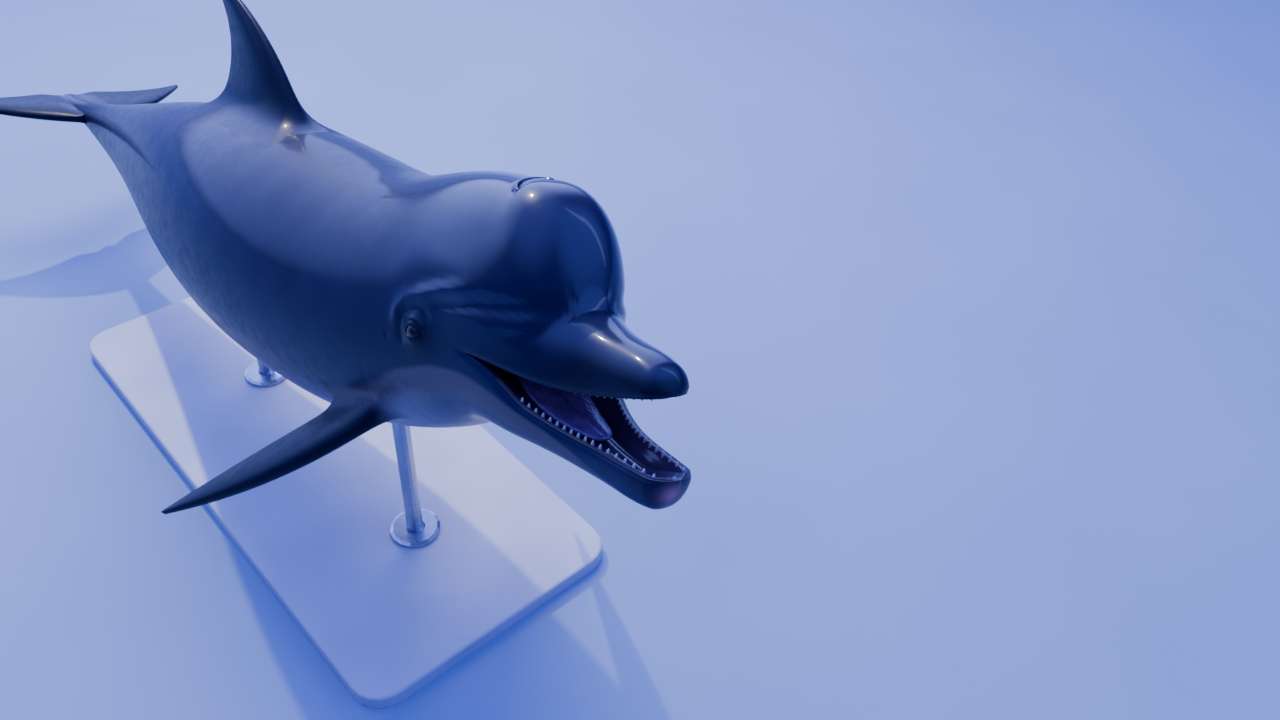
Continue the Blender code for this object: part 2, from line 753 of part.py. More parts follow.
def top_of_head(s, y):
    """Height of the skin's upper side above (s, y)."""
    low, high = float(lip_height(s)), 0.40
    for _ in range(34):
        half = (low + high) / 2
        inside = skin_field(*np.array([[s], [y], [half]]))[0] < 0
        low, high = (half, high) if inside else (low, half)
    return low


def belly_under(s):
    """World place of the belly's lowest point at s."""
    ring = half_outline(s)
    both = [(s, side * y, z) for side in (1, -1) for y, z in zip(*ring)]
    places = posed(both)
    return Vector(places[np.argmin(places[:, 2])])


def turned_rod(name, x, y, top, finish, grow=0.0):
    """Rod with a bevelled foot flange, as one turned profile."""
    foot = BASE_SIZE[2] + GAP
    profile = [(0, foot), (FLANGE_RADIUS, foot), (FLANGE_RADIUS, foot + 0.7 * FLANGE_THICK),
               (FLANGE_RADIUS - 0.006, foot + FLANGE_THICK), (ROD_RADIUS + 0.004, foot + FLANGE_THICK),
               (ROD_RADIUS + grow, foot + FLANGE_THICK + 0.006), (ROD_RADIUS + grow, top + grow),
               (0, top + grow)]
    work = bmesh.new()
    corners = [work.verts.new((radius, 0, z)) for radius, z in profile]
    edges = [work.edges.new(pair) for pair in zip(corners, corners[1:])]
    bmesh.ops.spin(work, geom=corners + edges, axis=(0, 0, 1), cent=(0, 0, 0), steps=16,
                   angle=2 * math.pi, use_duplicate=False)
    bmesh.ops.remove_doubles(work, verts=work.verts, dist=1e-6)
    bmesh.ops.translate(work, verts=work.verts, vec=(x, y, 0))
    made = bpy.data.objects.new(name, bpy.data.meshes.new(name))
    bpy.context.scene.collection.objects.link(made)
    work.to_mesh(made.data)
    work.free()
    made.data.materials.append(finish)
    face_out(made)
    return made


def display_base(finish):
    """A flat board with rounded corners and eased top edges."""
    thick = BASE_SIZE[2]
    work = bmesh.new()
    bmesh.ops.create_cube(work, size=1.0)
    bmesh.ops.scale(work, verts=work.verts, vec=BASE_SIZE)
    bmesh.ops.translate(work, verts=work.verts, vec=(0, 0, thick / 2))
    upright = [e for e in work.edges if abs(e.verts[0].co.z - e.verts[1].co.z) > thick / 2]
    bmesh.ops.bevel(work, geom=upright, offset=0.060, segments=5, affect="EDGES", profile=0.5)
    rim = [e for e in work.edges if all(abs(v.co.z - thick) < 1e-6 for v in e.verts)]
    bmesh.ops.bevel(work, geom=rim, offset=0.005, segments=2, affect="EDGES", profile=0.5)
    made = bpy.data.objects.new("stand_base", bpy.data.meshes.new("stand_base"))
    bpy.context.scene.collection.objects.link(made)
    work.to_mesh(made.data)
    work.free()
    made.data.materials.append(finish)
    face_out(made)
    return made


# ---- assembly ----------------------------------------------------------------------------------------

def cuts():
    """Frame and size of each thin box that parts the body into its named pieces."""
    wide = 0.8
    yield frame_at(0.455), (GAP, wide, wide)
    yield frame_at(1.50), (GAP, wide, wide)
    fin = frame_at(1.20, 0, float(spline(BODY, 1, 1.20)) + 0.012)
    slope = math.atan2(float(spline(BODY, 1, 1.04) - spline(BODY, 1, 1.37)), 0.33)
    yield fin @ Matrix.Rotation(-slope, 4, "Y"), (0.46, 0.12, GAP)
    for which in (1, -1):
        yield frame_at(2.30, which * 0.036, -0.033), (0.40, GAP, 0.16)
        yield flipper_root(which), (0.24, GAP, 0.16)
    length = 0.20
    start = frame_at(0.245, 0, float(lip_height(0.245)) - 0.006)
    turn = Matrix.Rotation(math.radians(-36), 4, "Y") @ Matrix.Translation((-length / 2, 0, 0))
    yield start @ turn, (length, 0.40, GAP)


def flipper_root(which):
    """Frame of the cut at a flipper's root, its local Y along the flipper."""
    share = 0.13
    middle = flipper(which)(share, np.array([0.15, 0.5, 0.85]), np.zeros(3))
    further = flipper(which)(share + 0.08, np.array([0.5]), np.zeros(1))
    front, centre, rear = (Vector(p) for p in posed(middle))
    outwards = (Vector(posed(further)[0]) - centre).normalized()
    x_axis = (front - rear).normalized()
    y_axis = (outwards - outwards.dot(x_axis) * x_axis).normalized()
    matrix = Matrix((x_axis, y_axis, x_axis.cross(y_axis))).transposed().to_4x4()
    matrix.translation = centre
    return matrix


def piece_marks():
    """A point inside each piece of the parted body."""
    spots = {
        "head": (0.25, 0, 0.06),
        "lower_jaw": (0.10, 0, -0.095),
        "trunk": (0.95, 0, -0.03),
        "tail_stock": (2.00, 0, -0.04),
        "dorsal_fin": (1.25, 0, 0.24),
        "flipper_left": (0.66, 0.27, -0.25),
        "flipper_right": (0.66, -0.27, -0.25),
        "fluke_left": (2.33, 0.15, -0.035),
        "fluke_right": (2.33, -0.15, -0.035),
    }
    return {name: Vector(posed([spot])[0]) for name, spot in spots.items()}


def centre_of(points):
    return sum(points, Vector()) / len(points)


def main():
    clear_scene()
    skin = material("skin", (0.055, 0.075, 0.13), 0.28)
    mouth = material("mouth", (0.33, 0.16, 0.24), 0.35)
    eye = material("eye", (0.012, 0.012, 0.016), 0.08)
    steel = material("steel", (0.62, 0.63, 0.65), 0.30, 1.0)
    board = material("board", (0.72, 0.74, 0.78), 0.45)

    shell, rings, stations = build_shell()
    add_fins(shell, rings, stations)
    body = mesh_object("body", posed(shell.points), shell.faces)
    face_out(body)

    rods = {}
    for name, s in ROD_STATIONS.items():
        foot = belly_under(s)
        top = foot.z + ROD_INTO_BELLY
        rods[name] = turned_rod(name, foot.x, foot.y, top, steel)
        apply_boolean(body, "DIFFERENCE", turned_rod("socket", foot.x, foot.y, top, steel, GAP))
    for which in (1, -1):
        apply_boolean(body, "DIFFERENCE", eyeball(which, GAP))
    apply_boolean(body, "DIFFERENCE", blowhole_cutter())
    apply_boolean(body, "UNION", tooth_rows(True))
    apply_boolean(body, "UNION", tooth_rows(False))
    room = mesh_object("room", *tongue_mesh(GAP))
    face_out(room)
    apply_boolean(body, "DIFFERENCE", room)
    pieces = [body]
    for matrix, size in cuts():
        pieces = [part for piece in pieces for part in parted(piece, matrix, size)]
    marks = piece_marks()
    for piece in pieces:
        middle = centre_of([v.co for v in piece.data.vertices])
        piece.name = min(marks, key=lambda name: (marks[name] - middle).length)
        piece.data.materials.append(skin)

    for which, side in ((1, "left"), (-1, "right")):
        ball = eyeball(which)
        ball.name = "eye_" + side
        ball.data.materials.append(eye)
    tongue = mesh_object("tongue", *tongue_mesh(), mouth)
    face_out(tongue)
    display_base(board)
    for item in bpy.data.objects:
        if item.type == "MESH" and item.name != "stand_base":
            item.data.shade_smooth()
            item.data.set_sharp_from_angle(angle=math.radians(40))


main()
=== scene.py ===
import math

import bmesh
import bpy
import numpy as np
from mathutils import Matrix, Quaternion, Vector


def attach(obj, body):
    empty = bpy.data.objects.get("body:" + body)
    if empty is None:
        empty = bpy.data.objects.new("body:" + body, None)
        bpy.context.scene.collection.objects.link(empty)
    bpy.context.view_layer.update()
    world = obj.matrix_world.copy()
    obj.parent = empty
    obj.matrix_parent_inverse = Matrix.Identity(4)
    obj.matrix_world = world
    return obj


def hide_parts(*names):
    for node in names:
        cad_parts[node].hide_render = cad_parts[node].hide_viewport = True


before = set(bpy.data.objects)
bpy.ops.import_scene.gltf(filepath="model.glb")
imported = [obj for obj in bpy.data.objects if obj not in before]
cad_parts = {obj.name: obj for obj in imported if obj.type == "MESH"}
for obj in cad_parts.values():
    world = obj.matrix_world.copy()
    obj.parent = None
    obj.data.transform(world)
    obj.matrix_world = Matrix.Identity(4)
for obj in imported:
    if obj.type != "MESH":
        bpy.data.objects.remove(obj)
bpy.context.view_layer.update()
print("frame loaded:", len(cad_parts), "nodes")

# The dolphin is first shaped straight: s runs back from the beak's tip, y to its left, z up, in metres.
# Its lower jaw is then swung open, and the whole skin is bent along the spine of the pose.

shape = {
    # s, top, bottom, half width of the body without its melon
    "body": np.array([
        (0.000, 0.012, -0.053, 0.0285), (0.030, 0.025, -0.065, 0.0345), (0.070, 0.034, -0.072, 0.0400),
        (0.110, 0.042, -0.077, 0.0470), (0.160, 0.060, -0.082, 0.0610), (0.220, 0.092, -0.092, 0.0820),
        (0.280, 0.132, -0.105, 0.1010), (0.340, 0.163, -0.118, 0.1160), (0.450, 0.186, -0.150, 0.1400),
        (0.560, 0.188, -0.184, 0.1620), (0.700, 0.185, -0.220, 0.1820), (0.900, 0.183, -0.250, 0.1960),
        (1.100, 0.176, -0.256, 0.1930), (1.300, 0.154, -0.238, 0.1710), (1.500, 0.120, -0.204, 0.1350),
        (1.700, 0.083, -0.165, 0.0960), (1.900, 0.051, -0.126, 0.0610), (2.050, 0.030, -0.098, 0.0385),
        (2.170, 0.011, -0.076, 0.0260), (2.270, -0.010, -0.055, 0.0230), (2.350, -0.026, -0.042, 0.0200),
        (2.400, -0.031, -0.036, 0.0150),
    ]),
    # s, height of the lips, and behind them the middle of the side
    "lip": np.array([
        (0.000, -0.013), (0.060, -0.022), (0.120, -0.028), (0.180, -0.026), (0.235, -0.016),
        (0.293, -0.005), (0.360, -0.002), (0.500, -0.012), (0.700, -0.022), (1.000, -0.038),
        (1.400, -0.050), (1.900, -0.040), (2.400, -0.033),
    ]),
    "end": 2.376, "tipRound": 0.020, "tailRound": 0.024, "tipHeight": -0.015,
    "mouthCorner": 0.293, "throatEnd": 0.343, "chinAhead": 0.018, "lipRoll": 0.0030,
}
melon = {"s": 0.272, "z": 0.054, "front": 0.112, "rear": 0.330, "up": 0.152, "down": 0.070, "wide": 0.088,
         "power": 2.40, "crease": 0.0035}
jaw = {"open": 14.2, "hingeS": 0.350, "hingeZ": -0.026}
pose = {"headPitch": 24.0, "trunkPitch": 8.5, "tailPitch": 14.0, "flukePitch": 2.0, "headRoll": -16.0,
        "trunkRoll": -13.0, "headYaw": -4.0, "rollAxis": -0.035, "middle": 1.12, "height": 0.600}
eye = {"s": 0.384, "z": 0.010, "radius": 0.0165, "sunk": 0.0125,
       "openLong": 0.0125, "openTall": 0.0078, "lidThick": 0.0013}
blowhole = {
    "s": 0.256, "y": -0.018, "radius": 0.022, "spread": 76, "slot": 0.0060, "patch": (0.237, 0.299),
    "across": (-15, 11), "rows": 16,
    # share of the slot's width and depth of the rows that go down inside
    "inner": [(0.80, 0.0022), (0.66, 0.0050), (0.55, 0.0080), (0.35, 0.011)],
}
relief = {
    "furrow": [(0.138, 0.049), (0.158, 0.056), (0.188, 0.059), (0.233, 0.059), (0.280, 0.058), (0.320, 0.054),
               (0.350, 0.049), (0.380, 0.042)],
    "furrowDeep": 0.0040, "furrowWide": 0.0105,
    "brow": [(0.430, 0.004), (0.429, 0.020), (0.423, 0.034), (0.408, 0.047), (0.383, 0.055), (0.350, 0.062),
             (0.310, 0.067), (0.255, 0.069)],
    "browTall": 0.0040, "browWide": 0.0090,
    "orbitDeep": 0.0022, "orbitRadius": 0.031, "orbitWide": 0.009,
    "earS": 0.447, "earZ": -0.004, "earDeep": 0.0020, "earWide": 0.0028,
    "throatFolds": (0.428, 0.468, 0.514), "foldDeep": 0.0007, "foldWide": 0.0045,
    "slitFrom": 1.46, "slitTo": 1.60, "slitDeep": 0.0042, "navel": 1.17,
}
grid = {"upper": 44, "lower": 36, "across": 28, "bunching": 0.60, "finRows": 28, "firstRing": 0.0002}
# s at the end of each stretch and the number of rings in it, closest where there is most to show
ringPlan = [
    (0.0020, 3), (0.0100, 5), (0.0300, 8), (0.2810, 84), (0.2930, 8), (0.4200, 80), (0.5000, 20), (0.6500, 30),
    (1.0300, 42), (1.3700, 46), (2.0000, 50), (2.1900, 27), (2.3600, 40), (2.3720, 5), (2.3758, 4),
]


# curves

# rows of (s, y, z), where each of the three is an array or one number for all
def spots(s, y, z):
    return np.stack(np.broadcast_arrays(s, y, z), axis=1)


def unit(way):
    return way / np.linalg.norm(way)


def lengthAlong(x, y):
    return np.concatenate([[0], np.cumsum(np.hypot(np.diff(x), np.diff(y)))])


def spline(points, column, s):
    x, y = points[:, 0], points[:, column]
    n, h = len(x), np.diff(x)
    rows, right = np.eye(n), np.zeros(n)
    for i in range(1, n - 1):
        rows[i, i - 1:i + 2] = h[i - 1], 2 * (h[i - 1] + h[i]), h[i]
        right[i] = 6 * ((y[i + 1] - y[i]) / h[i] - (y[i] - y[i - 1]) / h[i - 1])
    bend = np.linalg.solve(rows, right)
    s = np.clip(s, x[0], x[-1])
    i = np.clip(np.searchsorted(x, s) - 1, 0, n - 2)
    a, b = (x[i + 1] - s) / h[i], (s - x[i]) / h[i]
    return a * y[i] + b * y[i + 1] + ((a**3 - a) * bend[i] + (b**3 - b) * bend[i + 1]) * h[i] ** 2 / 6


def ease(value, start, end):
    t = np.clip((np.asarray(value, float) - start) / (end - start), 0, 1)
    return t * t * (3 - 2 * t)


def rounded(distance, length):
    t = np.clip(1 - distance / length, 0, 1)
    return np.sqrt(np.clip(1 - t * t, 1e-9, 1))


def bell(value, width):
    return np.exp(-(value / width) ** 2)


# distance to a path of (s, z) points, and how far along it, from 0 to 1
def nearPath(s, z, path):
    path = np.array(path)
    length = lengthAlong(*path.T)
    best, along = np.full(np.shape(s), 9.0), np.zeros(np.shape(s))
    for k in range(len(path) - 1):
        way = path[k + 1] - path[k]
        t = np.clip(((s - path[k, 0]) * way[0] + (z - path[k, 1]) * way[1]) / (way @ way), 0, 1)
        far = np.hypot(s - path[k, 0] - t * way[0], z - path[k, 1] - t * way[1])
        nearer = far < best
        best = np.where(nearer, far, best)
        along = np.where(nearer, (length[k] + t * np.hypot(*way)) / length[-1], along)
    return best, along


# the body's surface

def lipHeight(s):
    return spline(shape["lip"], 1, s)


def section(s):
    ends = rounded(s, shape["tipRound"]) * rounded(shape["end"] - s, shape["tailRound"])
    middle = lipHeight(s)
    top = middle + (spline(shape["body"], 1, s) - middle) * ends
    bottom = middle + (spline(shape["body"], 2, s) - middle) * ends
    return top, bottom, spline(shape["body"], 3, s) * ends, middle


def skinField(s, y, z):
    top, bottom, wide, middle = section(s)
    tall = np.where(z > middle, top - middle, middle - bottom)
    power = 2.0 + 0.35 * (1 - ease(s, 0.10, 0.60))
    size = ((np.abs(y) / wide) ** power + (np.abs(z - middle) / tall) ** power) ** (1 / power)
    body = (size - 1) * np.minimum(wide, tall)
    p = melon["power"]
    long = np.where(s < melon["s"], melon["front"], melon["rear"])
    high = np.where(z > melon["z"], melon["up"], melon["down"])
    size = ((np.abs(s - melon["s"]) / long) ** p + (np.abs(y) / melon["wide"]) ** p
            + (np.abs(z - melon["z"]) / high) ** p) ** (1 / p)
    brow = (size - 1) * 0.10
    blend = 0.010 + 0.045 * ease(s, 0.13, 0.30)
    apart = np.clip(0.5 + (brow - body) / (2 * blend), 0, 1)
    joined = brow + (body - brow) * apart - blend * apart * (1 - apart)
    crease = melon["crease"] * (1 - ease(s, 0.14, 0.27)) * bell(body - brow, 0.006)
    orbit = 0.005 * np.exp(-((s - eye["s"]) ** 2 + (z - eye["z"] - 0.006) ** 2) / 0.030**2)
    corner = shape["mouthCorner"]
    lips = shape["lipRoll"] * (1 - ease(s, corner - 0.02, corner + 0.02)) * bell(z - middle, 0.0045)
    return joined + crease - orbit + lips


# distance along (wayY, wayZ) from (startY, startZ) to the skin, for arrays
def reach(s, startY, startZ, wayY, wayZ):
    near, far = np.zeros(np.shape(s)), np.full(np.shape(s), 0.40)
    for _ in range(30):
        half = (near + far) / 2
        inside = skinField(s, startY + half * wayY, startZ + half * wayZ) < 0
        near, far = np.where(inside, half, near), np.where(inside, far, half)
    return near


def sideAt(s, z):
    return reach(s, 0 * z, z, 1.0, 0.0)


def topAt(s, y):
    height = lipHeight(s)
    return height + reach(s, y, height, 0.0, 1.0)


def normalAt(points):
    step, slopes = 0.0005, []
    for way in np.eye(3) * step:
        slopes.append(skinField(*(points + way).T) - skinField(*(points - way).T))
    slopes = np.stack(slopes, axis=1)
    return slopes / np.maximum(np.linalg.norm(slopes, axis=1, keepdims=True), 1e-12)


# folds, furrows and other small relief, in metres outwards
def reliefAt(points):
    r, (s, y, z) = relief, points.T
    far, along = nearPath(s, z, r["furrow"])
    out = -r["furrowDeep"] * bell(far, r["furrowWide"]) * ease(along, 0.02, 0.30) * (1 - ease(along, 0.72, 1.0))
    far, along = nearPath(s, z, r["brow"])
    out = out + r["browTall"] * bell(far, r["browWide"]) * ease(along, 0, 0.16) * (1 - ease(along, 0.62, 1.0))
    away = np.hypot(s - eye["s"], z - eye["z"])
    rearAndTop = ease((s - eye["s"]) * 0.6 + (z - eye["z"]), -0.012, 0.010)
    out = out - r["orbitDeep"] * bell(away - r["orbitRadius"], r["orbitWide"]) * rearAndTop
    out = out - r["earDeep"] * bell(np.hypot(s - r["earS"], z - r["earZ"]), r["earWide"])
    low = ease(-z, 0.03, 0.08)
    for k in r["throatFolds"]:
        out = out - r["foldDeep"] * low * bell(s + 0.30 * (z + 0.05) - k, r["foldWide"])
    under = ease(lipHeight(s) - z, 0.08, 0.12)
    span = ease(s, r["slitFrom"], r["slitFrom"] + 0.02) * (1 - ease(s, r["slitTo"] - 0.02, r["slitTo"]))
    out = out - r["slitDeep"] * under * span * bell(y, 0.0040)
    out = out - 0.0030 * under * bell(np.hypot(s - r["navel"], y), 0.009)
    swell = 0.00016 * np.sin(61 * s + 17 * z) * np.sin(43 * z + 29 * y + 1.3)
    return out + swell * ease(s, 0.45, 0.70) * (1 - ease(s, 1.9, 2.1))


def onSkin(points):
    return points + normalAt(points) * reliefAt(points)[:, None]


# share of the half outline's length at each index, closer together at both ends
def bunched(count):
    u = np.linspace(0, 1, count + 1)
    return u - grid["bunching"] * np.sin(2 * math.pi * u) / (2 * math.pi)


# points down the left side at every station, from the back to the lip and on to the belly
def halfOutlines(stations):
    dense = 140
    angle = np.concatenate([np.linspace(0, math.pi / 2, dense), np.linspace(math.pi / 2, math.pi, dense)[1:]])
    s = np.repeat(stations, len(angle))
    wayY, wayZ = np.tile(np.sin(angle), len(stations)), np.tile(np.cos(angle), len(stations))
    height = lipHeight(s)
    far = reach(s, 0.0, height, wayY, wayZ)
    ys = (far * wayY).reshape(len(stations), -1)
    zs = (height + far * wayZ).reshape(len(stations), -1)
    rows = []
    for y, z in zip(ys, zs):
        length = lengthAlong(y, z)
        lip = length[dense - 1]
        lower = lip + (length[-1] - lip) * bunched(grid["lower"])[1:]
        wanted = np.concatenate([lip * bunched(grid["upper"]), lower])
        rows.append((np.interp(wanted, length, y), np.interp(wanted, length, z)))
    return rows


# jaw and pose

def openJaw(points, share):
    turn = math.radians(jaw["open"]) * share
    ahead, up = jaw["hingeS"] - points[:, 0], points[:, 2] - jaw["hingeZ"]
    moved = points.copy()
    moved[:, 0] = jaw["hingeS"] - (np.cos(turn) * ahead + np.sin(turn) * up)
    moved[:, 2] = jaw["hingeZ"] + np.cos(turn) * up - np.sin(turn) * ahead
    return moved


# how much of the opening a point takes: depth is 0 at the lip and 1 under the throat
def jawShare(s, depth):
    return 1 - ease(s, 0.195 + 0.045 * depth, shape["mouthCorner"] + 0.005 + 0.17 * depth)


def spinePitch(s):
    pitch = pose["headPitch"] + (pose["trunkPitch"] - pose["headPitch"]) * ease(s, 0.40, 0.90)
    pitch = pitch + (pose["tailPitch"] - pose["trunkPitch"]) * ease(s, 1.20, 1.90)
    return np.radians(pitch + (pose["flukePitch"] - pose["tailPitch"]) * ease(s, 1.95, 2.35))


def spineYaw(s):
    return np.radians(pose["headYaw"] * (1 - ease(s, 0.40, 0.95)))


def spinePlaces():
    step, pitch, yaw = spineS[1] - spineS[0], spinePitch(spineS), spineYaw(spineS)
    ahead = np.stack([np.cos(pitch) * np.cos(yaw), np.cos(pitch) * np.sin(yaw), np.sin(pitch)], axis=1)
    places = -np.cumsum(ahead, axis=0) * step
    middle = [np.interp(pose["middle"], spineS, places[:, k]) for k in range(3)]
    return places - middle + np.array([0, 0, pose["height"]])


spineS = np.linspace(-0.10, 2.60, 1081)
spine = spinePlaces()


def posed(points):
    points = np.asarray(points, float)
    s, y, z = points.T
    pitch, yaw = spinePitch(s), spineYaw(s)
    roll = np.radians(pose["headRoll"] + (pose["trunkRoll"] - pose["headRoll"]) * ease(s, 0.42, 1.00))
    axis = pose["rollAxis"]
    up = z - axis
    y, z = y * np.cos(roll) - up * np.sin(roll), axis + y * np.sin(roll) + up * np.cos(roll)
    x = -z * np.sin(pitch)
    return np.stack([
        np.interp(s, spineS, spine[:, 0]) + x * np.cos(yaw) - y * np.sin(yaw),
        np.interp(s, spineS, spine[:, 1]) + x * np.sin(yaw) + y * np.cos(yaw),
        np.interp(s, spineS, spine[:, 2]) + z * np.cos(pitch),
    ], axis=1)


# matrix of the posed body at a point, its axes ahead, left and up
def frameAt(s, y, z):
    step = 0.001
    here, ahead, left = (Vector(p) for p in posed([(s, y, z), (s - step, y, z), (s, y + step, z)]))
    xAxis = (ahead - here).normalized()
    zAxis = xAxis.cross(left - here).normalized()
    matrix = Matrix((xAxis, zAxis.cross(xAxis), zAxis)).transposed().to_4x4()
    matrix.translation = here
    return matrix


# the skin, gathered as points, where each lies at rest, how much it is mouth lining or fin, and faces
skinData = {"points": [], "rest": [], "lining": [], "fin": [], "faces": []}


def addPoints(points, rest, lining=0.0, fin=0.0):
    first = len(skinData["points"])
    skinData["points"].extend(np.asarray(points, float).tolist())
    skinData["rest"].extend(np.asarray(rest, float).tolist())
    for name, value in (("lining", lining), ("fin", fin)):
        skinData[name].extend(np.broadcast_to(value, len(points)).tolist())
    return list(range(first, len(skinData["points"])))


def addStrip(row, following, closed=False):
    count = len(row)
    for k in range(count if closed else count - 1):
        after = (k + 1) % count
        skinData["faces"].append((row[k], row[after], following[after], following[k]))


# a closed row of points joined to the row before it
def addRow(previous, points, rest, lining=0.0):
    row = addPoints(points, rest, lining)
    addStrip(previous, row, closed=True)
    return row


def addFan(loop, centre, rest, lining=0.0, fin=0.0):
    middle = addPoints([centre], [rest], lining, fin)[0]
    for k, corner in enumerate(loop):
        skinData["faces"].append((corner, loop[(k + 1) % len(loop)], middle))


def lowerAhead(s):
    return shape["chinAhead"] * (1 - ease(s, 0.0, 0.11))


def lowerPoints(points):
    s, z = points[:, 0], points[:, 2]
    bottom, middle = section(s)[1], lipHeight(s)
    depth = np.clip((middle - z) / (middle - bottom), 0, 1)
    moved = points.copy()
    moved[:, 0] -= lowerAhead(s)
    return openJaw(moved, jawShare(s, depth))


# points across the mouth's roof or floor from left lip to right lip, with the ridge that holds the teeth
def mouthRow(s, halfWidth, rise, ridge):
    y = halfWidth * np.cos(np.linspace(0, math.pi, grid["across"] + 1))
    inside = halfWidth - np.abs(y)
    way = np.sign(rise)
    z = lipHeight(s) + rise * ease(inside, 0.004, 0.45 * halfWidth + 0.006)
    z = z - way * ridge * bell(inside - 0.0085, 0.0035) * ease(halfWidth, 0.008, 0.02)
    z = z + 0.06 * rise * np.cos(4 * math.pi * y / max(halfWidth, 0.01)) * ease(inside, 0.012, 0.02)
    return spots(s, y, z)


def roofRow(s, halfWidth):
    return mouthRow(s, halfWidth, 0.0111 * float(ease(s, 0.0, 0.06)) + 1e-6, 0.0016)


def floorRow(s, halfWidth):
    points = mouthRow(s, halfWidth, -0.0201 * float(ease(s, 0.0, 0.07)) - 1e-6, 0.0016)
    points[:, 0] -= lowerAhead(s)
    middle = 1 - (points[:, 1] / max(halfWidth, 1e-6)) ** 2
    return openJaw(points, jawShare(s, 0.45 * middle))


def liningShare(halfWidth):
    y = halfWidth * np.cos(np.linspace(0, math.pi, grid["across"] + 1))
    return ease(halfWidth - np.abs(y), 0.0015, 0.008)[1:-1]


def stationIndex(stations, s):
    return int(np.argmin(np.abs(stations - s)))


def layRings():
    stations = [grid["firstRing"]]
    for end, steps in ringPlan:
        stations.extend(np.linspace(stations[-1], end, steps + 1)[1:])
    return np.array(stations)


def layBody(stations):
    upper, around = grid["upper"], 2 * (grid["upper"] + grid["lower"])
    corner = stationIndex(stations, shape["mouthCorner"])
    rings, lowerLips, roofs, floors = [], [], [], []
    for i, (s, (y, z)) in enumerate(zip(stations, halfOutlines(stations))):
        plain = spots(s, y, z)
        ring, rest = (np.concatenate([p, p[-2:0:-1] * (1, -1, 1)]) for p in (onSkin(plain), plain))
        low = slice(upper + 1, around - upper)
        lips = lowerPoints(ring[[upper, around - upper]])
        lipRest = rest[[upper, around - upper]]
        ring[low] = lowerPoints(ring[low])
        rings.append(addPoints(ring, rest))
        if i > corner:
            continue
        if i < corner:
            lowerLips.append(addPoints(lips, lipRest))
        left, right = rings[i][upper], rings[i][around - upper]
        lowLeft, lowRight = lowerLips[i] if i < corner else (left, right)
        inner = liningShare(y[upper])
        for row, ends, kept in ((roofRow(s, y[upper]), (left, right), roofs),
                                (floorRow(s, y[upper]), (lowLeft, lowRight), floors)):
            kept.append([ends[0], *addPoints(row[1:-1], row[1:-1], inner), ends[1]])
    for i in range(len(rings) - 1):
        for v in range(around):
            after = (v + 1) % around
            isLow = upper <= v < around - upper
            skinData["faces"].append(tuple(
                lowerLips[k][0 if w == upper else 1]
                if isLow and k < corner and w in (upper, around - upper) else rings[k][w]
                for k, w in ((i, v), (i + 1, v), (i + 1, after), (i, after))
            ))
    for i in range(corner):
        addStrip(roofs[i], roofs[i + 1])
        addStrip(floors[i + 1], floors[i])
    closeThroat(roofs[corner], floors[corner])
    tip = (0.0, 0.0, shape["tipHeight"] + 0.001)
    addFan(rings[0][around - upper:] + rings[0][:upper + 1] + roofs[0][1:-1], tip, tip)
    chin = np.array([(-shape["chinAhead"] - 0.0003, 0.0, shape["tipHeight"] - 0.001)])
    loop = [lowerLips[0][0], *rings[0][upper + 1:around - upper], lowerLips[0][1], *floors[0][-2:0:-1]]
    addFan(loop, openJaw(chin, 1.0)[0], chin[0])
    tail = (shape["end"], 0.0, float(lipHeight(shape["end"])))
    addFan(rings[-1][::-1], tail, tail)
    return rings


# the pocket behind the corners of the mouth, narrowing to the throat
def closeThroat(roof, floor):
    previous = roof[:-1] + floor[:0:-1]
    first = np.array([skinData["points"][v] for v in previous])
    centre = first.mean(axis=0)
    for share in np.linspace(0.12, 1.0, 8):
        points = centre + (first - centre) * (1 - 0.62 * share)
        points[:, 0] += (shape["throatEnd"] - shape["mouthCorner"]) * share
        previous = addRow(previous, points, points, 1.0)
    addFan(previous, points.mean(axis=0) + (0.004, 0, 0), points.mean(axis=0), 1.0)


# takes out a patch of the rings and returns the vertex loop round it, from its front's middle towards high
def openPatch(rings, stations, span, low, high):
    first, last = (stationIndex(stations, s) for s in span)
    around, middle = len(rings[0]), (low + high) // 2
    inside = {rings[i][v % around] for i in range(first, last + 1) for v in range(low, high + 1)}
    skinData["faces"] = [f for f in skinData["faces"] if not inside.issuperset(f)]
    places = [(first, v) for v in range(middle, high + 1)]
    places += [(i, high) for i in range(first + 1, last + 1)]
    places += [(last, v) for v in range(high - 1, low - 1, -1)]
    places += [(i, low) for i in range(last - 1, first - 1, -1)]
    places += [(first, v) for v in range(low + 1, middle)]
    return [rings[i][v % around] for i, v in places]


# fins

def foil(u):
    return 2.969 * np.sqrt(u) - 1.26 * u - 3.516 * u**2 + 2.843 * u**3 - 1.000 * u**4


# s of each fin's root, its span, its thickness as a share of its chord, and the patch that it grows from
dorsal = {"front": 1.030, "rear": 1.368, "span": 0.235, "thick": 0.075, "patch": (0.995, 1.405), "around": 15,
          "root": 0.05, "fillet": 0.006}
flipper = {"front": 0.508, "rear": 0.642, "span": 0.285, "thick": 0.085, "patch": (0.50, 0.65), "around": 4,
           "belowLip": 18, "root": 0.05, "way": (0.28, 0.78, -0.60), "droop": 0.020}
fluke = {"front": 2.180, "rear": 2.374, "span": 0.284, "thick": 0.075, "patch": (2.19, 2.36), "around": 14,
         "root": 0.06, "inner": 0.026, "droop": 0.015}


def dorsalFin(height, chord, side):
    up = max(height, 0.0)
    front = dorsal["front"] + 0.16 * height + 0.150 * up**2.5
    rear = dorsal["rear"] - 0.26 * height * (1 - height)
    thick = dorsal["thick"] * (rear - front) + 0.002
    s = front + (rear - front) * chord
    z = spline(shape["body"], 1, np.minimum(s, 1.37)) - 0.001 + dorsal["span"] * height
    return spots(s, side * thick * foil(chord), z)


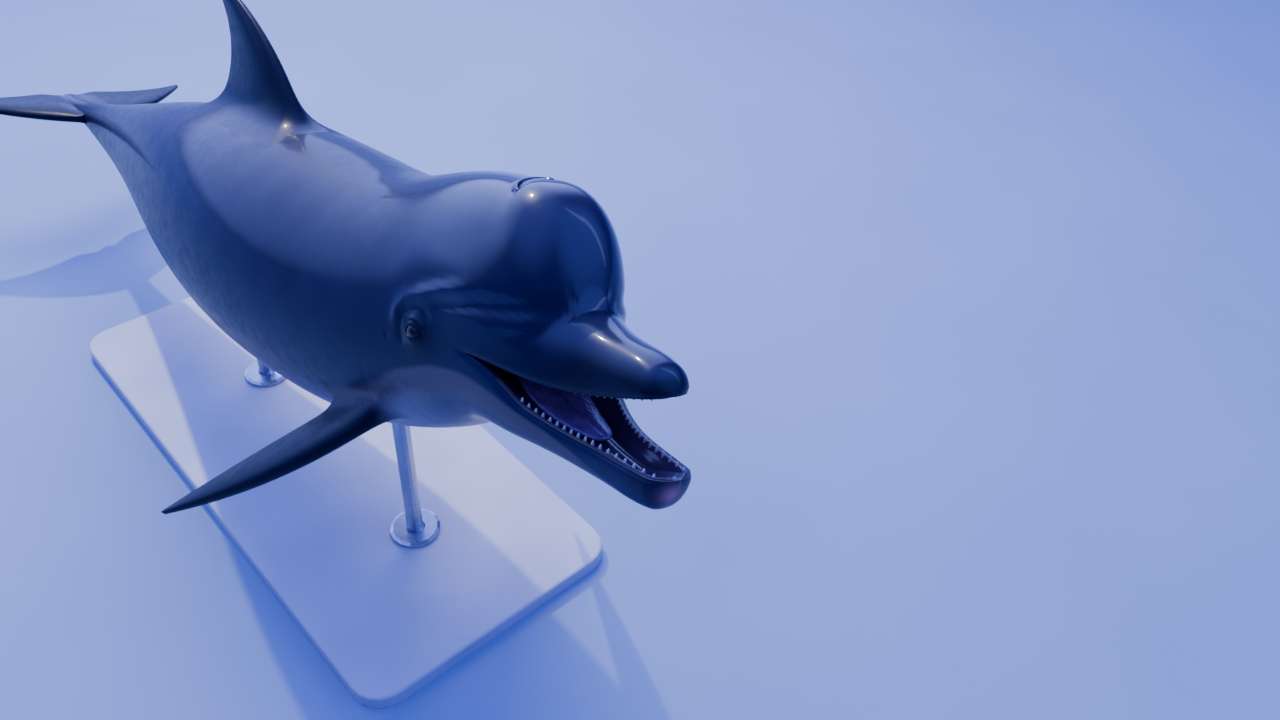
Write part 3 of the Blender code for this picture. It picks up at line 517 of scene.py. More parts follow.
def flipperRoot(s):
    y, z = halfOutlines(np.array([s]))[0]
    length = lengthAlong(y, z)
    lip = length[grid["upper"]]
    wanted = (lip + length[-1]) / 2
    return np.array([s, np.interp(wanted, length, y), np.interp(wanted, length, z)])


def flipperPlace(which):
    root, rearRoot = flipperRoot(flipper["front"]), flipperRoot(flipper["rear"])
    spanWay, chordWay = unit(np.array(flipper["way"])), unit(rearRoot - root)
    thickWay = unit(np.cross(chordWay, spanWay))

    def place(height, chord, side):
        up = max(height, 0.0)
        front = 0.215 * up**1.9
        rear = 0.138 + 0.092 * height
        thick = flipper["thick"] * (rear - front) + 0.004 - 0.002 * height
        back = front + (rear - front) * chord
        points = root + np.outer(back, chordWay) + flipper["span"] * height * spanWay
        points = points - np.outer(side * which * thick * foil(chord), thickWay)
        points[:, 2] -= flipper["droop"] * up**2
        points[:, 1] *= which
        return points

    return place


def flukePlace(which):
    def place(height, chord, side):
        up = max(height, 0.0)
        front = fluke["front"] + 0.10 * height + 0.150 * up**2
        rear = fluke["rear"] + 0.026 * ease(height, 0.0, 0.16) - 0.10 * height * (1 - height) + 0.050 * up**2
        thick = fluke["thick"] * (rear - front) + 0.002
        s = front + (rear - front) * chord
        z = lipHeight(np.minimum(s, 2.35)) - side * which * thick * foil(chord) - fluke["droop"] * up**2
        return spots(s, which * (fluke["inner"] + fluke["span"] * height), z)

    return place


# rows that leave the body's surface over the height of the root and close at the tip
def growFin(loop, place, root, fillet=0.0):
    base = np.array([skinData["points"][v] for v in loop])
    half = len(loop) // 2
    ring = np.concatenate([base, base[:1]])
    length = np.concatenate([[0], np.cumsum(np.linalg.norm(np.diff(ring, axis=0), axis=1))])
    angle = np.concatenate([
        math.pi * length[:half] / length[half],
        math.pi + math.pi * (length[half:-1] - length[half]) / (length[-1] - length[half]),
    ])
    chord, side = (1 - np.cos(angle)) / 2, np.sign(np.round(np.sin(angle), 9))
    previous, centres = loop, []
    for share in np.linspace(0.018 if fillet else 0.05, 1, grid["finRows"]):
        height = -0.012 + 1.012 * share**1.45
        points = place(height, chord, side)
        far = (height + 0.012) / root
        away = 1 - math.exp(-far * far / (far + 0.30) if fillet else -far)
        points = base * (1 - away) + points * away
        if fillet:
            # rows that would sink into the body are brought up to its surface
            depth, soft = skinField(*points.T), fillet * float(ease(away, 0.0, 0.5))
            wanted = (depth + np.sqrt(depth**2 + soft**2)) / 2
            for _ in range(2):
                points = points + normalAt(points) * (wanted - skinField(*points.T))[:, None]
        row = addPoints(points, points, fin=float(ease(height, -0.01, 0.15)))
        addStrip(row, previous, closed=True)
        previous = row
        centres.append(points.mean(axis=0))
    way = unit(centres[-1] - centres[-2])
    for shrink, ahead in ((0.86, 0.0012), (0.55, 0.0026)):
        row = addPoints(centres[-1] + (points - centres[-1]) * shrink + way * ahead, points, fin=1.0)
        addStrip(row, previous, closed=True)
        previous = row
    addFan(previous, centres[-1] + way * 0.0031, centres[-1], fin=1.0)


def addFins(rings, stations):
    def patch(fin, middle):
        return openPatch(rings, stations, fin["patch"], middle - fin["around"], middle + fin["around"])

    growFin(patch(dorsal, 0), dorsalFin, dorsal["root"], dorsal["fillet"])
    for which in (1, -1):
        # the rings are counted down the left side, so the right side counts back from their end
        lip = which * grid["upper"] % len(rings[0])
        growFin(patch(flipper, lip + which * flipper["belowLip"]), flipperPlace(which), flipper["root"])
        growFin(patch(fluke, lip), flukePlace(which), fluke["root"])


lids = {
    "patch": 0.029, "above": 12, "below": 7, "rows": 17, "power": 1.65, "lowerTall": 0.86,
    # height of each fold, its distance from the lid's edge, its width and its share on the lower lid
    "folds": [(0.0013, 0.0030, 0.0020, 0.50), (-0.0012, 0.0062, 0.0016, 0.35), (0.0010, 0.0095, 0.0030, 0.0)],
    # share of the opening and height over the eyeball of the rows that go in behind it
    "inner": [(0.965, 0.0007), (0.945, -0.0002), (0.955, -0.0016), (0.97, -0.005), (0.60, -0.010)],
}


# eyelids: rows closing in from the patch's edge to an almond opening, then in behind the eyeball
def addEyelids(rings, stations, which):
    lip = which * grid["upper"] % len(rings[0])
    low, high = sorted((lip - which * lids["above"], lip + which * lids["below"]))
    if (low + high) % 2:
        low -= 1
    loop = openPatch(rings, stations, (eye["s"] - lids["patch"], eye["s"] + lids["patch"]), low, high)
    base = np.array([skinData["rest"][v] for v in loop])
    a, b = base[:, 0] - eye["s"], base[:, 2] - eye["z"]
    turn = np.arctan2(b, a)
    p = lids["power"]
    tall = eye["openTall"] * np.where(b > 0, 1.0, lids["lowerTall"])
    across, upright = np.abs(np.cos(turn)) / eye["openLong"], np.abs(np.sin(turn)) / tall
    almond = 1 / (across**p + upright**p) ** (1 / p)
    edgeA, edgeB = almond * np.cos(turn), almond * np.sin(turn)
    isUpper = ease(np.sin(turn), -0.15, 0.45)

    def ballHeight(x, z):
        return np.sqrt(np.maximum(eye["radius"] ** 2 - x**2 - z**2, 0)) - eye["sunk"]

    def row(x, z, out):
        s, height = eye["s"] + x, eye["z"] + z
        plain = spots(s, sideAt(s, height), height)
        points = plain + normalAt(plain) * (reliefAt(plain) * (np.hypot(x, z) > 0.0) + out)[:, None]
        points[:, 1] *= which
        plain[:, 1] *= which
        return points, plain

    previous = loop
    edgeRise = ballHeight(edgeA, edgeB) + eye["lidThick"]
    for f in np.linspace(0.06, 1.0, lids["rows"]):
        x, z = a * (1 - f) + edgeA * f, b * (1 - f) + edgeB * f
        far = np.hypot(x - edgeA, z - edgeB)
        lid = edgeRise * (1 - ease(far, 0.0004, 0.0150))
        cover = np.maximum(ballHeight(x, z) + 0.9 * eye["lidThick"], 0)
        soft = 0.0016 * (1 - ease(far, 0.003, 0.014))
        out = (lid + cover + np.sqrt((lid - cover) ** 2 + soft**2) - soft) / 2 + 0.3 * soft
        for high, start, wide, least in lids["folds"]:
            out = out + high * bell(far - start, wide) * (least + (1 - least) * isUpper)
        previous = addRow(previous, *row(x, z, out))
    for scale, out in lids["inner"]:
        x, z = edgeA * scale, edgeB * scale
        previous = addRow(previous, *row(x, z, ballHeight(x, z) + out))
    points, plain = row(np.zeros(1), np.zeros(1), np.full(1, lids["inner"][-1][1]))
    addFan(previous, points[0], plain[0])


# the blowhole: rows closing in to a crescent slit whose horns point ahead, then down inside
def addBlowhole(rings, stations):
    loop = openPatch(rings, stations, blowhole["patch"], *blowhole["across"])
    base = np.array([skinData["rest"][v] for v in loop])
    a, b = base[:, 0] - blowhole["s"] - 0.011, base[:, 1] - blowhole["y"]
    turn = np.arctan2(a, b)
    along = math.radians(blowhole["spread"]) * np.cos(turn)
    half = blowhole["slot"] / 2 * np.abs(np.sin(turn)) ** 0.8 * np.sign(np.sin(turn))

    def crescent(share):
        radius = blowhole["radius"] + half * share
        return blowhole["s"] + radius * np.cos(along), blowhole["y"] + radius * np.sin(along)

    edgeS, edgeY = crescent(1.0)
    previous = loop
    rear = ease(np.sin(turn), -0.3, 0.5)
    for f in np.linspace(0.06, 1.0, blowhole["rows"]):
        s, y = base[:, 0] * (1 - f) + edgeS * f, base[:, 1] * (1 - f) + edgeY * f
        plain = spots(s, y, topAt(s, y))
        far = np.hypot(s - edgeS, y - edgeY)
        out = (0.0009 + 0.0013 * rear) * bell(far - 0.0022, 0.0034) - 0.0016 * bell(far, 0.0012)
        out = out - 0.0010 * bell(far - 0.0095, 0.0028)
        points = plain + normalAt(plain) * (reliefAt(plain) + out)[:, None]
        previous = addRow(previous, points, plain)
    for share, down in blowhole["inner"]:
        s, y = crescent(share)
        plain = spots(s, y, topAt(s, y))
        previous = addRow(previous, plain - normalAt(plain) * down, plain, 0.75)
    # the slit is thin, so its bottom is closed by quads across it
    start, count = int(np.argmax(along)), len(previous)
    ring = previous[start:] + previous[:start]
    for k in range(count // 2):
        corners = tuple(dict.fromkeys([ring[k], ring[k + 1], ring[(-k - 1) % count], ring[-k % count]]))
        if len(corners) > 2:
            skinData["faces"].append(corners)


def meshObject(name, points, faces):
    mesh = bpy.data.meshes.new(name)
    mesh.from_pydata([tuple(map(float, p)) for p in points], [], [tuple(f) for f in faces])
    made = bpy.data.objects.new(name, mesh)
    bpy.context.scene.collection.objects.link(made)
    return made


def giveMask(piece, name, values):
    layer = piece.data.attributes.new(name, "FLOAT", "POINT")
    layer.data.foreach_set("value", np.asarray(values, np.float32))


markings = {
    # s, height where the dark upper side ends and the pale underside begins
    "paleLine": [(0.000, -0.070), (0.020, -0.060), (0.050, -0.057), (0.080, -0.054), (0.100, -0.049),
                 (0.134, -0.042), (0.162, -0.037), (0.190, -0.033), (0.215, -0.030), (0.277, -0.030),
                 (0.360, -0.031), (0.440, -0.050), (0.520, -0.088), (0.650, -0.130), (0.900, -0.172),
                 (1.200, -0.178), (1.500, -0.150), (1.700, -0.136), (1.900, -0.118), (2.100, -0.098),
                 (2.250, -0.080), (2.400, -0.070)],
    # s, height where the dark back gives way to the greyer flank
    "capeLine": [(0.00, -0.100), (0.28, -0.080), (0.40, -0.050), (0.60, -0.020), (0.90, 0.010), (1.20, -0.010),
                 (1.50, -0.020), (1.80, 0.000), (2.10, -0.010), (2.40, -0.060)],
    "pinkSpot": (0.002, -0.005, -0.032), "pinkWide": 0.0125,
}


def addMarkings(piece, rest, lining, fin):
    s, y, z = rest.T
    paleLine = np.interp(s, *np.array(markings["paleLine"]).T)
    soft = 0.005 + 0.022 * ease(s, 0.36, 0.75)
    pale = ease(paleLine - z, -soft, soft)
    pale = pale * (1 - fin) * (1 - ease(s, 1.95, 2.15)) * (0.30 + 0.70 * ease(s, 0.03, 0.16))
    capeLine = np.interp(s, *np.array(markings["capeLine"]).T)
    flank = ease(capeLine - z, -0.045, 0.045) * (1 - ease(s, 1.7, 2.1)) * (1 - fin)
    # painted reflection: a bluer band on the lower jaw just below the lip, standing in for the sky's reflection
    # along that side
    band = ease(lipHeight(s) - z, 0.0, 0.004) * (1 - ease(s, 0.28, 0.36)) * ease(s, 0.02, 0.06)
    pink = bell(np.linalg.norm(rest - markings["pinkSpot"], axis=1), markings["pinkWide"])
    away = np.hypot((s - eye["s"]) / 1.25, z - eye["z"])
    # from 0 at the lips to 1 along the top of the back
    upward = (z - lipHeight(s)) / (spline(shape["body"], 1, s) - lipHeight(s))
    beak = 1 - ease(s, 0.10, 0.20)
    beakSide = beak * ease(upward, -0.05, 0.05) * (1 - ease(upward, 0.50, 0.80))
    # painted shade: darkens the hollow round the eye and the sides of the beak, where shade falls; it also
    # darkens the fins
    dark = np.maximum(bell(away, 0.030) * ease(np.abs(y), 0.05, 0.08), np.maximum(0.85 * fin, 0.8 * beakSide))
    # the lighter palest underside comes in only behind the head, so the throat and jaw keep the dimmer pale
    # colour: the real pale underside, partly dimmed as painted shade under the head
    belly = pale * ease(paleLine - z, 0.0, 0.06) * ease(s, 0.30, 0.55)
    # wettest on top of the head, so the lower sides, the fins and the lids mirror less of the floor
    wet = 0.18 + 0.82 * ease(upward - 0.42 * beak, 0.10, 0.55)
    wet = np.maximum(wet, 0.8 * lining) * (1 - 0.95 * fin) * (1 - 0.66 * ease(s, 0.33, 0.50))
    wet = wet * (1 - 0.85 * bell(away, 0.020))
    masks = {"pale": pale, "belly": belly, "flank": flank, "band": band, "pink": pink, "dark": dark,
             "lining": lining, "wet": wet}
    for name, values in masks.items():
        giveMask(piece, name, values)


def buildSkin():
    stations = layRings()
    rings = layBody(stations)
    print("skin rings:", len(rings), "of", len(rings[0]), "points")
    addFins(rings, stations)
    for which in (1, -1):
        addEyelids(rings, stations, which)
    addBlowhole(rings, stations)
    skin = meshObject("skin", posed(skinData["points"]), skinData["faces"])
    addMarkings(skin, np.array(skinData["rest"]), np.array(skinData["lining"]), np.array(skinData["fin"]))
    work = bmesh.new()
    work.from_mesh(skin.data)
    bmesh.ops.delete(work, geom=[v for v in work.verts if not v.link_faces], context="VERTS")
    bmesh.ops.recalc_face_normals(work, faces=work.faces)
    if work.calc_volume(signed=True) < 0:
        bmesh.ops.reverse_faces(work, faces=work.faces)
    openEdges = sum(not e.is_manifold for e in work.edges)
    print("skin: litres", round(work.calc_volume() * 1000, 1), "open edges", openEdges)
    work.to_mesh(skin.data)
    work.free()
    skin.data.shade_smooth()
    return skin


def deselectAll():
    for item in bpy.context.selected_objects:
        item.select_set(False)


def faceOutwards():
    bpy.ops.object.mode_set(mode="EDIT")
    bpy.ops.mesh.select_all(action="SELECT")
    bpy.ops.mesh.normals_make_consistent(inside=False)
    bpy.ops.object.mode_set(mode="OBJECT")


# materials

def newMaterial(name):
    made = bpy.data.materials.new(name)
    made.use_nodes = True
    return made, made.node_tree


def addNoise(tree, scale, detail=4.0, roughness=0.5, stretch=(1, 1, 1)):
    mapping, noise = tree.nodes.new("ShaderNodeMapping"), tree.nodes.new("ShaderNodeTexNoise")
    mapping.inputs["Scale"].default_value = stretch
    for name, number in (("Scale", scale), ("Detail", detail), ("Roughness", roughness)):
        noise.inputs[name].default_value = number
    place = tree.nodes.new("ShaderNodeTexCoord").outputs["Object"]
    tree.links.new(place, mapping.inputs["Vector"])
    tree.links.new(mapping.outputs["Vector"], noise.inputs["Vector"])
    return noise.outputs["Fac"]


def addRange(tree, value, low, high, toLow=0.0, toHigh=1.0):
    ranged = tree.nodes.new("ShaderNodeMapRange")
    for name, number in (("From Min", low), ("From Max", high), ("To Min", toLow), ("To Max", toHigh)):
        ranged.inputs[name].default_value = number
    tree.links.new(value, ranged.inputs["Value"])
    return ranged.outputs["Result"]


# a socket takes another node's output as a link, and a number or a colour as its own value
def setSocket(tree, socket, value):
    if isinstance(value, bpy.types.NodeSocket):
        tree.links.new(value, socket)
    else:
        socket.default_value = (*value, 1) if isinstance(value, tuple) else value


def addMath(tree, operation, first, second=0.0):
    made = tree.nodes.new("ShaderNodeMath")
    made.operation = operation
    setSocket(tree, made.inputs[0], first)
    setSocket(tree, made.inputs[1], second)
    return made.outputs["Value"]


def addMix(tree, share, first, second):
    mix = tree.nodes.new("ShaderNodeMix")
    mix.data_type = "RGBA"
    for socket, value in ((mix.inputs["Factor"], share), (mix.inputs[6], first), (mix.inputs[7], second)):
        setSocket(tree, socket, value)
    return mix.outputs[2]


def addMask(tree, name, output="Fac"):
    made = tree.nodes.new("ShaderNodeAttribute")
    made.attribute_name = name
    return made.outputs[output]


def addBump(tree, height, strength, distance):
    bump = tree.nodes.new("ShaderNodeBump")
    for name, value in (("Strength", strength), ("Distance", distance), ("Height", height)):
        setSocket(tree, bump.inputs[name], value)
    return bump.outputs["Normal"]


def setSurface(tree, settings):
    for name, value in settings.items():
        setSocket(tree, tree.nodes["Principled BSDF"].inputs[name], value)


skinFinish = {
    "back": (0.0056, 0.0052, 0.0270), "backLight": (0.0088, 0.0084, 0.0350), "flank": (0.0120, 0.0125, 0.0400),
    # band is a painted reflection, the bluer tone of the jaw's side below the lower lip
    # pale, the underside's colour, is kept dim as painted shade under the head; palest is the lighter belly
    "pale": (0.120, 0.098, 0.088), "palest": (0.30, 0.28, 0.26), "band": (0.0070, 0.0070, 0.0440),
    # dark is painted shade for the eye's hollow and the beak's sides, and the fins' darker tone
    "pink": (0.52, 0.20, 0.20), "lining": (0.036, 0.012, 0.045), "dark": (0.0020, 0.0035, 0.0140),
    "roughness": 0.34, "specular": 0.12, "coatRoughness": 0.075,
}


def skinMaterial():
    f = skinFinish
    made, tree = newMaterial("wetSkin")
    broad, fine = addNoise(tree, 7.0, 3.0), addNoise(tree, 55.0, 5.0, 0.6)
    colour = addMix(tree, addRange(tree, broad, 0.35, 0.70), f["back"], f["backLight"])
    # these masks' edges are broken up by the fine noise, by a spread of their share
    for name, key, spread in (("flank", "flank", 0.5), ("band", "band", 0.2), ("pale", "pale", 0.14),
                              ("belly", "palest", 0.30)):
        ragged = addRange(tree, fine, 0.25, 0.75, -spread / 2, spread / 2)
        share = addRange(tree, addMath(tree, "ADD", addMask(tree, name), ragged), 0.15, 0.85)
        colour = addMix(tree, share, colour, f[key])
    # dark lays painted shade on the eye's hollow and the beak's sides and darkens the fins; pink and lining are
    # the skin's own colours
    for name in ("dark", "pink", "lining"):
        colour = addMix(tree, addMask(tree, name), colour, f[name])
    setSurface(tree, {
        "Base Color": colour,
        "Roughness": addRange(tree, fine, 0.3, 0.7, f["roughness"] - 0.06, f["roughness"] + 0.08),
        "Specular IOR Level": f["specular"], "Coat Weight": addMask(tree, "wet"),
        "Coat Roughness": f["coatRoughness"], "Coat IOR": 1.40,
        "Normal": addBump(tree, addNoise(tree, 380.0, 3.0), 0.05, 0.0010),
    })
    return made


def giveMaterial(piece, material):
    piece.data.materials.clear()
    piece.data.materials.append(material)


skin = buildSkin()
giveMaterial(skin, skinMaterial())
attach(skin, "root")
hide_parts("head", "lower_jaw", "trunk", "tail_stock", "dorsal_fin", "flipper_left", "flipper_right",
            "fluke_left", "fluke_right")
print("skin done")


# eyeballs: a sphere whose pole is drawn out into the cornea, turned to look out between the lids

eyeBall = {"segments": 72, "rings": 48, "cornea": 0.0088, "bulge": 0.0011, "flat": 0.94,
           "iris": (0.012, 0.007, 0.006), "irisLight": (0.034, 0.019, 0.012), "pupil": (0.002, 0.002, 0.004),
           "white": (0.022, 0.018, 0.020), "veins": (0.016, 0.009, 0.010), "rim": (0.004, 0.003, 0.004)}


def buildEye(which):
    deselectAll()
    bpy.ops.mesh.primitive_uv_sphere_add(segments=eyeBall["segments"], ring_count=eyeBall["rings"],
                                         radius=eye["radius"])
    ball = bpy.context.object
    ball.name = "eyeLeft" if which == 1 else "eyeRight"
    for vertex in ball.data.vertices:
        vertex.select = vertex.co.z > 0.9999 * eye["radius"]
    bpy.ops.object.mode_set(mode="EDIT")
    bpy.ops.transform.translate(value=(0, 0, eyeBall["bulge"]), use_proportional_edit=True,
                                proportional_edit_falloff="SMOOTH", proportional_size=eyeBall["cornea"])
    bpy.ops.object.mode_set(mode="OBJECT")
    places = np.array([v.co for v in ball.data.vertices])
    layer = ball.data.attributes.new("eyePlace", "FLOAT_VECTOR", "POINT")
    layer.data.foreach_set("vector", (places * 1000).astype(np.float32).ravel())
    side = float(sideAt(np.array([eye["s"]]), np.array([eye["z"]]))[0])
    matrix = frameAt(eye["s"], which * (side - eye["sunk"]), eye["z"])
    ahead, out = matrix.col[0].to_3d(), matrix.col[1].to_3d() * which
    turned = Matrix((ahead, out.cross(ahead), out)).transposed().to_4x4()
    turned.translation = matrix.translation
    ball.data.transform(turned @ Matrix.Diagonal((1, eyeBall["flat"], 1, 1)))
    bpy.ops.object.shade_smooth()
    return ball


def eyeMaterial():
    made, tree = newMaterial("eye")
    split = tree.nodes.new("ShaderNodeSeparateXYZ")
    tree.links.new(addMask(tree, "eyePlace", "Vector"), split.inputs["Vector"])

    # millimetres from the middle, measured on an ellipse that is wider than it is tall
    def fromMiddle(stretch, drop=0.0):
        across = addMath(tree, "DIVIDE", split.outputs["X"], stretch)
        upright = addMath(tree, "ADD", split.outputs["Y"], drop)
        squares = [addMath(tree, "MULTIPLY", side, side) for side in (across, upright)]
        return addMath(tree, "SQRT", addMath(tree, "ADD", *squares))

    streak, veins = addNoise(tree, 700.0, 5.0, 0.7), addNoise(tree, 320.0, 6.0, 0.7)
    far = fromMiddle(1.15)
    iris = addMix(tree, addRange(tree, streak, 0.35, 0.65), eyeBall["iris"], eyeBall["irisLight"])
    iris = addMix(tree, addRange(tree, far, 5.6, 7.4), iris, eyeBall["rim"])
    iris = addMix(tree, addRange(tree, fromMiddle(1.45, 0.4), 3.1, 3.7, 1, 0), iris, eyeBall["pupil"])
    white = addMix(tree, addRange(tree, veins, 0.45, 0.62), eyeBall["white"], eyeBall["veins"])
    setSurface(tree, {
        "Base Color": addMix(tree, addRange(tree, far, 7.2, 8.6), iris, white), "Roughness": 0.18,
        "Specular IOR Level": 0.15, "Coat Weight": 0.5, "Coat Roughness": 0.02, "Coat IOR": 1.38,
    })
    return made


eyeFinish = eyeMaterial()
for which, node in ((1, "eye_left"), (-1, "eye_right")):
    ball = buildEye(which)
    giveMaterial(ball, eyeFinish)
    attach(ball, "root")
    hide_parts(node)
print("eyes done")


# teeth: one peg drawn up from a disc, then copied along both jaws

teeth = {"count": 18, "from": 0.010, "to": 0.215, "radius": 0.0028, "root": 0.0040, "sides": 12,
         "upperTall": 0.0050, "lowerTall": 0.0068, "upperInset": 0.0095, "lowerInset": 0.0080,
         "ivory": (0.36, 0.32, 0.26), "tipIvory": (0.50, 0.48, 0.44), "stain": (0.20, 0.15, 0.10)}
# share of the height, share of the radius, lean towards the tongue
toothProfile = [(0.10, 1.05, 0.00), (0.30, 1.00, 0.00), (0.48, 0.92, 0.04), (0.64, 0.80, 0.10),
                (0.78, 0.64, 0.18), (0.89, 0.46, 0.26), (0.96, 0.28, 0.31), (1.00, 0.10, 0.34)]


def modelTooth():
    deselectAll()
    bpy.ops.mesh.primitive_circle_add(vertices=teeth["sides"], radius=1.0, fill_type="NGON")
    tooth = bpy.context.object
    bpy.ops.object.mode_set(mode="EDIT")
    bpy.ops.mesh.select_all(action="SELECT")
    height, size, leaned = 0.0, 1.0, 0.0
    for rise, radius, lean in toothProfile:
        bpy.ops.mesh.extrude_region_move(TRANSFORM_OT_translate={"value": (0, -(lean - leaned), rise - height)})
        bpy.ops.transform.resize(value=(radius / size, radius / size, 1))
        height, size, leaned = rise, radius, lean
    faceOutwards()
    places = np.array([v.co for v in tooth.data.vertices])
    faces = [tuple(p.vertices) for p in tooth.data.polygons]
    bpy.data.objects.remove(tooth)
    return places, faces


def buildTeeth(name, isUpper):
    peg, pegFaces = modelTooth()
    way, side = (-1, "upper") if isUpper else (1, "lower")
    tall, inset = teeth[side + "Tall"], teeth[side + "Inset"]
    points, faces, rise = [], [], []
    rng = np.random.default_rng(7 if isUpper else 8)
    for which in (1, -1):
        for k in range(teeth["count"]):
            s = teeth["from"] + (teeth["to"] - teeth["from"]) * ((k + 0.5) / teeth["count"]) ** 0.92
            lip = float(lipHeight(s))
            room = float(sideAt(np.array([s]), np.array([lip]))[0]) - inset
            size = (0.75 + 0.25 * math.sin(math.pi * (k + 2) / (teeth["count"] + 3))) * rng.uniform(0.94, 1.04)
            height = peg[:, 2] * (tall * size + teeth["root"]) - teeth["root"]
            tilt = rng.uniform(-0.0004, 0.0004)
            one = spots(
                s + peg[:, 0] * teeth["radius"] * 0.92 + (0.0006 + tilt) * peg[:, 2] ** 2,
                which * (room + peg[:, 1] * teeth["radius"] * 0.85),
                lip - way * 0.001 + way * height,
            )
            if not isUpper:
                one[:, 0] -= lowerAhead(s)
                one = openJaw(one, jawShare(s, 0.0))
            faces.extend(tuple(v + len(points) for v in face) for face in pegFaces)
            points.extend(one.tolist())
            rise.extend(peg[:, 2].tolist())
    made = meshObject(name, posed(points), faces)
    giveMask(made, "rise", rise)
    work = bmesh.new()
    work.from_mesh(made.data)
    bmesh.ops.recalc_face_normals(work, faces=work.faces)
    work.to_mesh(made.data)
    work.free()
    made.data.shade_smooth()
    return made


def toothMaterial():
    made, tree = newMaterial("ivory")
    rise, cloud = addMask(tree, "rise"), addNoise(tree, 400.0, 3.0)
    colour = addMix(tree, addRange(tree, rise, 0.35, 0.95), teeth["ivory"], teeth["tipIvory"])
    stained = addMath(tree, "MULTIPLY", addRange(tree, rise, 0.30, 0.60, 1, 0),
                      addRange(tree, cloud, 0.35, 0.65, 0.2, 0.9))
    setSurface(tree, {
        "Base Color": addMix(tree, stained, colour, teeth["stain"]),
        "Roughness": addRange(tree, cloud, 0.3, 0.7, 0.16, 0.30), "Coat Weight": 0.6, "Coat Roughness": 0.08,
    })
    return made


toothFinish = toothMaterial()
for name, isUpper in (("teethUpper", True), ("teethLower", False)):
    row = buildTeeth(name, isUpper)
    giveMaterial(row, toothFinish)
    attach(row, "root")
print("teeth done")


# tongue: a sphere laid along the floor of the mouth, grooved down its middle and frilled at the edge

tongue = {"from": 0.118, "to": 0.322, "lift": 0.006, "groove": 0.0020, "grooveWide": 0.0032, "frill": 0.035,
          "segments": 96, "rings": 80, "colour": (0.190, 0.060, 0.200), "dark": (0.100, 0.034, 0.120)}


def buildTongue():
    deselectAll()
    bpy.ops.mesh.primitive_uv_sphere_add(segments=tongue["segments"], ring_count=tongue["rings"], radius=1.0)
    made = bpy.context.object
    made.name = "tongueFlesh"
    unit = np.array([v.co for v in made.data.vertices])
    share = (1 - unit[:, 2]) / 2
    turn = np.arctan2(unit[:, 1], unit[:, 0])
    s = tongue["from"] + (tongue["to"] - tongue["from"]) * (0.02 + 0.96 * share)
    room = sideAt(np.minimum(s, shape["mouthCorner"]), lipHeight(s))
    ends = np.maximum(1 - unit[:, 2] ** 2, 0) ** 0.30
    wide = (0.006 + 0.42 * room * (1 - 0.45 * ease(s, 0.25, 0.33))) * ends
    wide = wide * (1 - tongue["frill"] * (0.5 + 0.5 * np.sin(s * 2900)) * (1 - ease(share, 0.35, 0.6)))
    tall = (0.0075 + 0.003 * share) * ends
    y = wide * np.cos(turn)
    onTop = ease(np.sin(turn), 0.0, 0.5)
    floorDeep = 0.0201 * ease(s, 0.0, 0.07)
    z = lipHeight(s) - floorDeep + 0.0050 + tongue["lift"] * (1 - ease(share, 0.0, 0.5)) + tall * np.sin(turn)
    z = z - tongue["groove"] * onTop * bell(y, tongue["grooveWide"]) * ease(ends, 0.3, 0.9)
    z = z + 0.0012 * onTop * np.abs(np.cos(turn)) ** 3 * (1 - ease(share, 0.3, 0.7))
    z = z + 0.00025 * onTop * np.sin(s * 1450 + 2 * np.sin(y * 700)) * ends
    points = posed(openJaw(spots(s - lowerAhead(s), y, z), jawShare(s, 0.45)))
    for vertex, point in zip(made.data.vertices, points.tolist()):
        vertex.co = point
    faceOutwards()
    bpy.ops.object.shade_smooth()
    return made


def tongueMaterial():
    made, tree = newMaterial("tongue")
    cloud, papillae = addNoise(tree, 60.0, 4.0), addNoise(tree, 900.0, 2.0)
    setSurface(tree, {
        "Base Color": addMix(tree, addRange(tree, cloud, 0.35, 0.65), tongue["colour"], tongue["dark"]),
        "Roughness": addRange(tree, papillae, 0.3, 0.7, 0.24, 0.42),
        "Subsurface Weight": 0.25, "Subsurface Scale": 0.004, "Coat Weight": 0.7, "Coat Roughness": 0.10,
        "Normal": addBump(tree, papillae, 0.35, 0.0006),
    })
    return made


tonguePiece = buildTongue()
giveMaterial(tonguePiece, tongueMaterial())
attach(tonguePiece, "root")
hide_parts("tongue")
print("tongue done")


# stand: the frame's own pieces, given a painted and a brushed finish

stand = {"paint": (0.50, 0.53, 0.58), "paintWorn": (0.42, 0.45, 0.50), "steel": (0.56, 0.57, 0.58),
         "steelDull": (0.46, 0.47, 0.49)}


def boardMaterial():
    made, tree = newMaterial("paintedBoard")
    cloud, peel = addNoise(tree, 5.0, 4.0), addNoise(tree, 420.0, 2.0)
    setSurface(tree, {
        "Base Color": addMix(tree, addRange(tree, cloud, 0.3, 0.7), stand["paint"], stand["paintWorn"]),
        "Roughness": addRange(tree, cloud, 0.3, 0.7, 0.42, 0.56),
        "Normal": addBump(tree, peel, 0.25, 0.0004),
    })
    return made


def steelMaterial():
    made, tree = newMaterial("brushedSteel")
    brushed, smudge = addNoise(tree, 60.0, 6.0, 0.7, (1, 1, 30)), addNoise(tree, 9.0, 3.0)
    setSurface(tree, {
        "Base Color": addMix(tree, addRange(tree, smudge, 0.3, 0.7), stand["steel"], stand["steelDull"]),
        "Metallic": 1.0, "Roughness": addRange(tree, brushed, 0.3, 0.7, 0.22, 0.38),
        "Normal": addBump(tree, brushed, 0.10, 0.0002),
    })
    return made


steelFinish = steelMaterial()
for node, finish in (("stand_base", boardMaterial()), ("stand_rod_front", steelFinish),
                     ("stand_rod_rear", steelFinish)):
    for slot in bpy.data.objects[node].material_slots:
        slot.material = finish
print("stand done")


# floor, lights and camera

floorFinish = {"colour": (0.235, 0.320, 0.470), "mottle": (0.215, 0.295, 0.445), "size": 40.0}


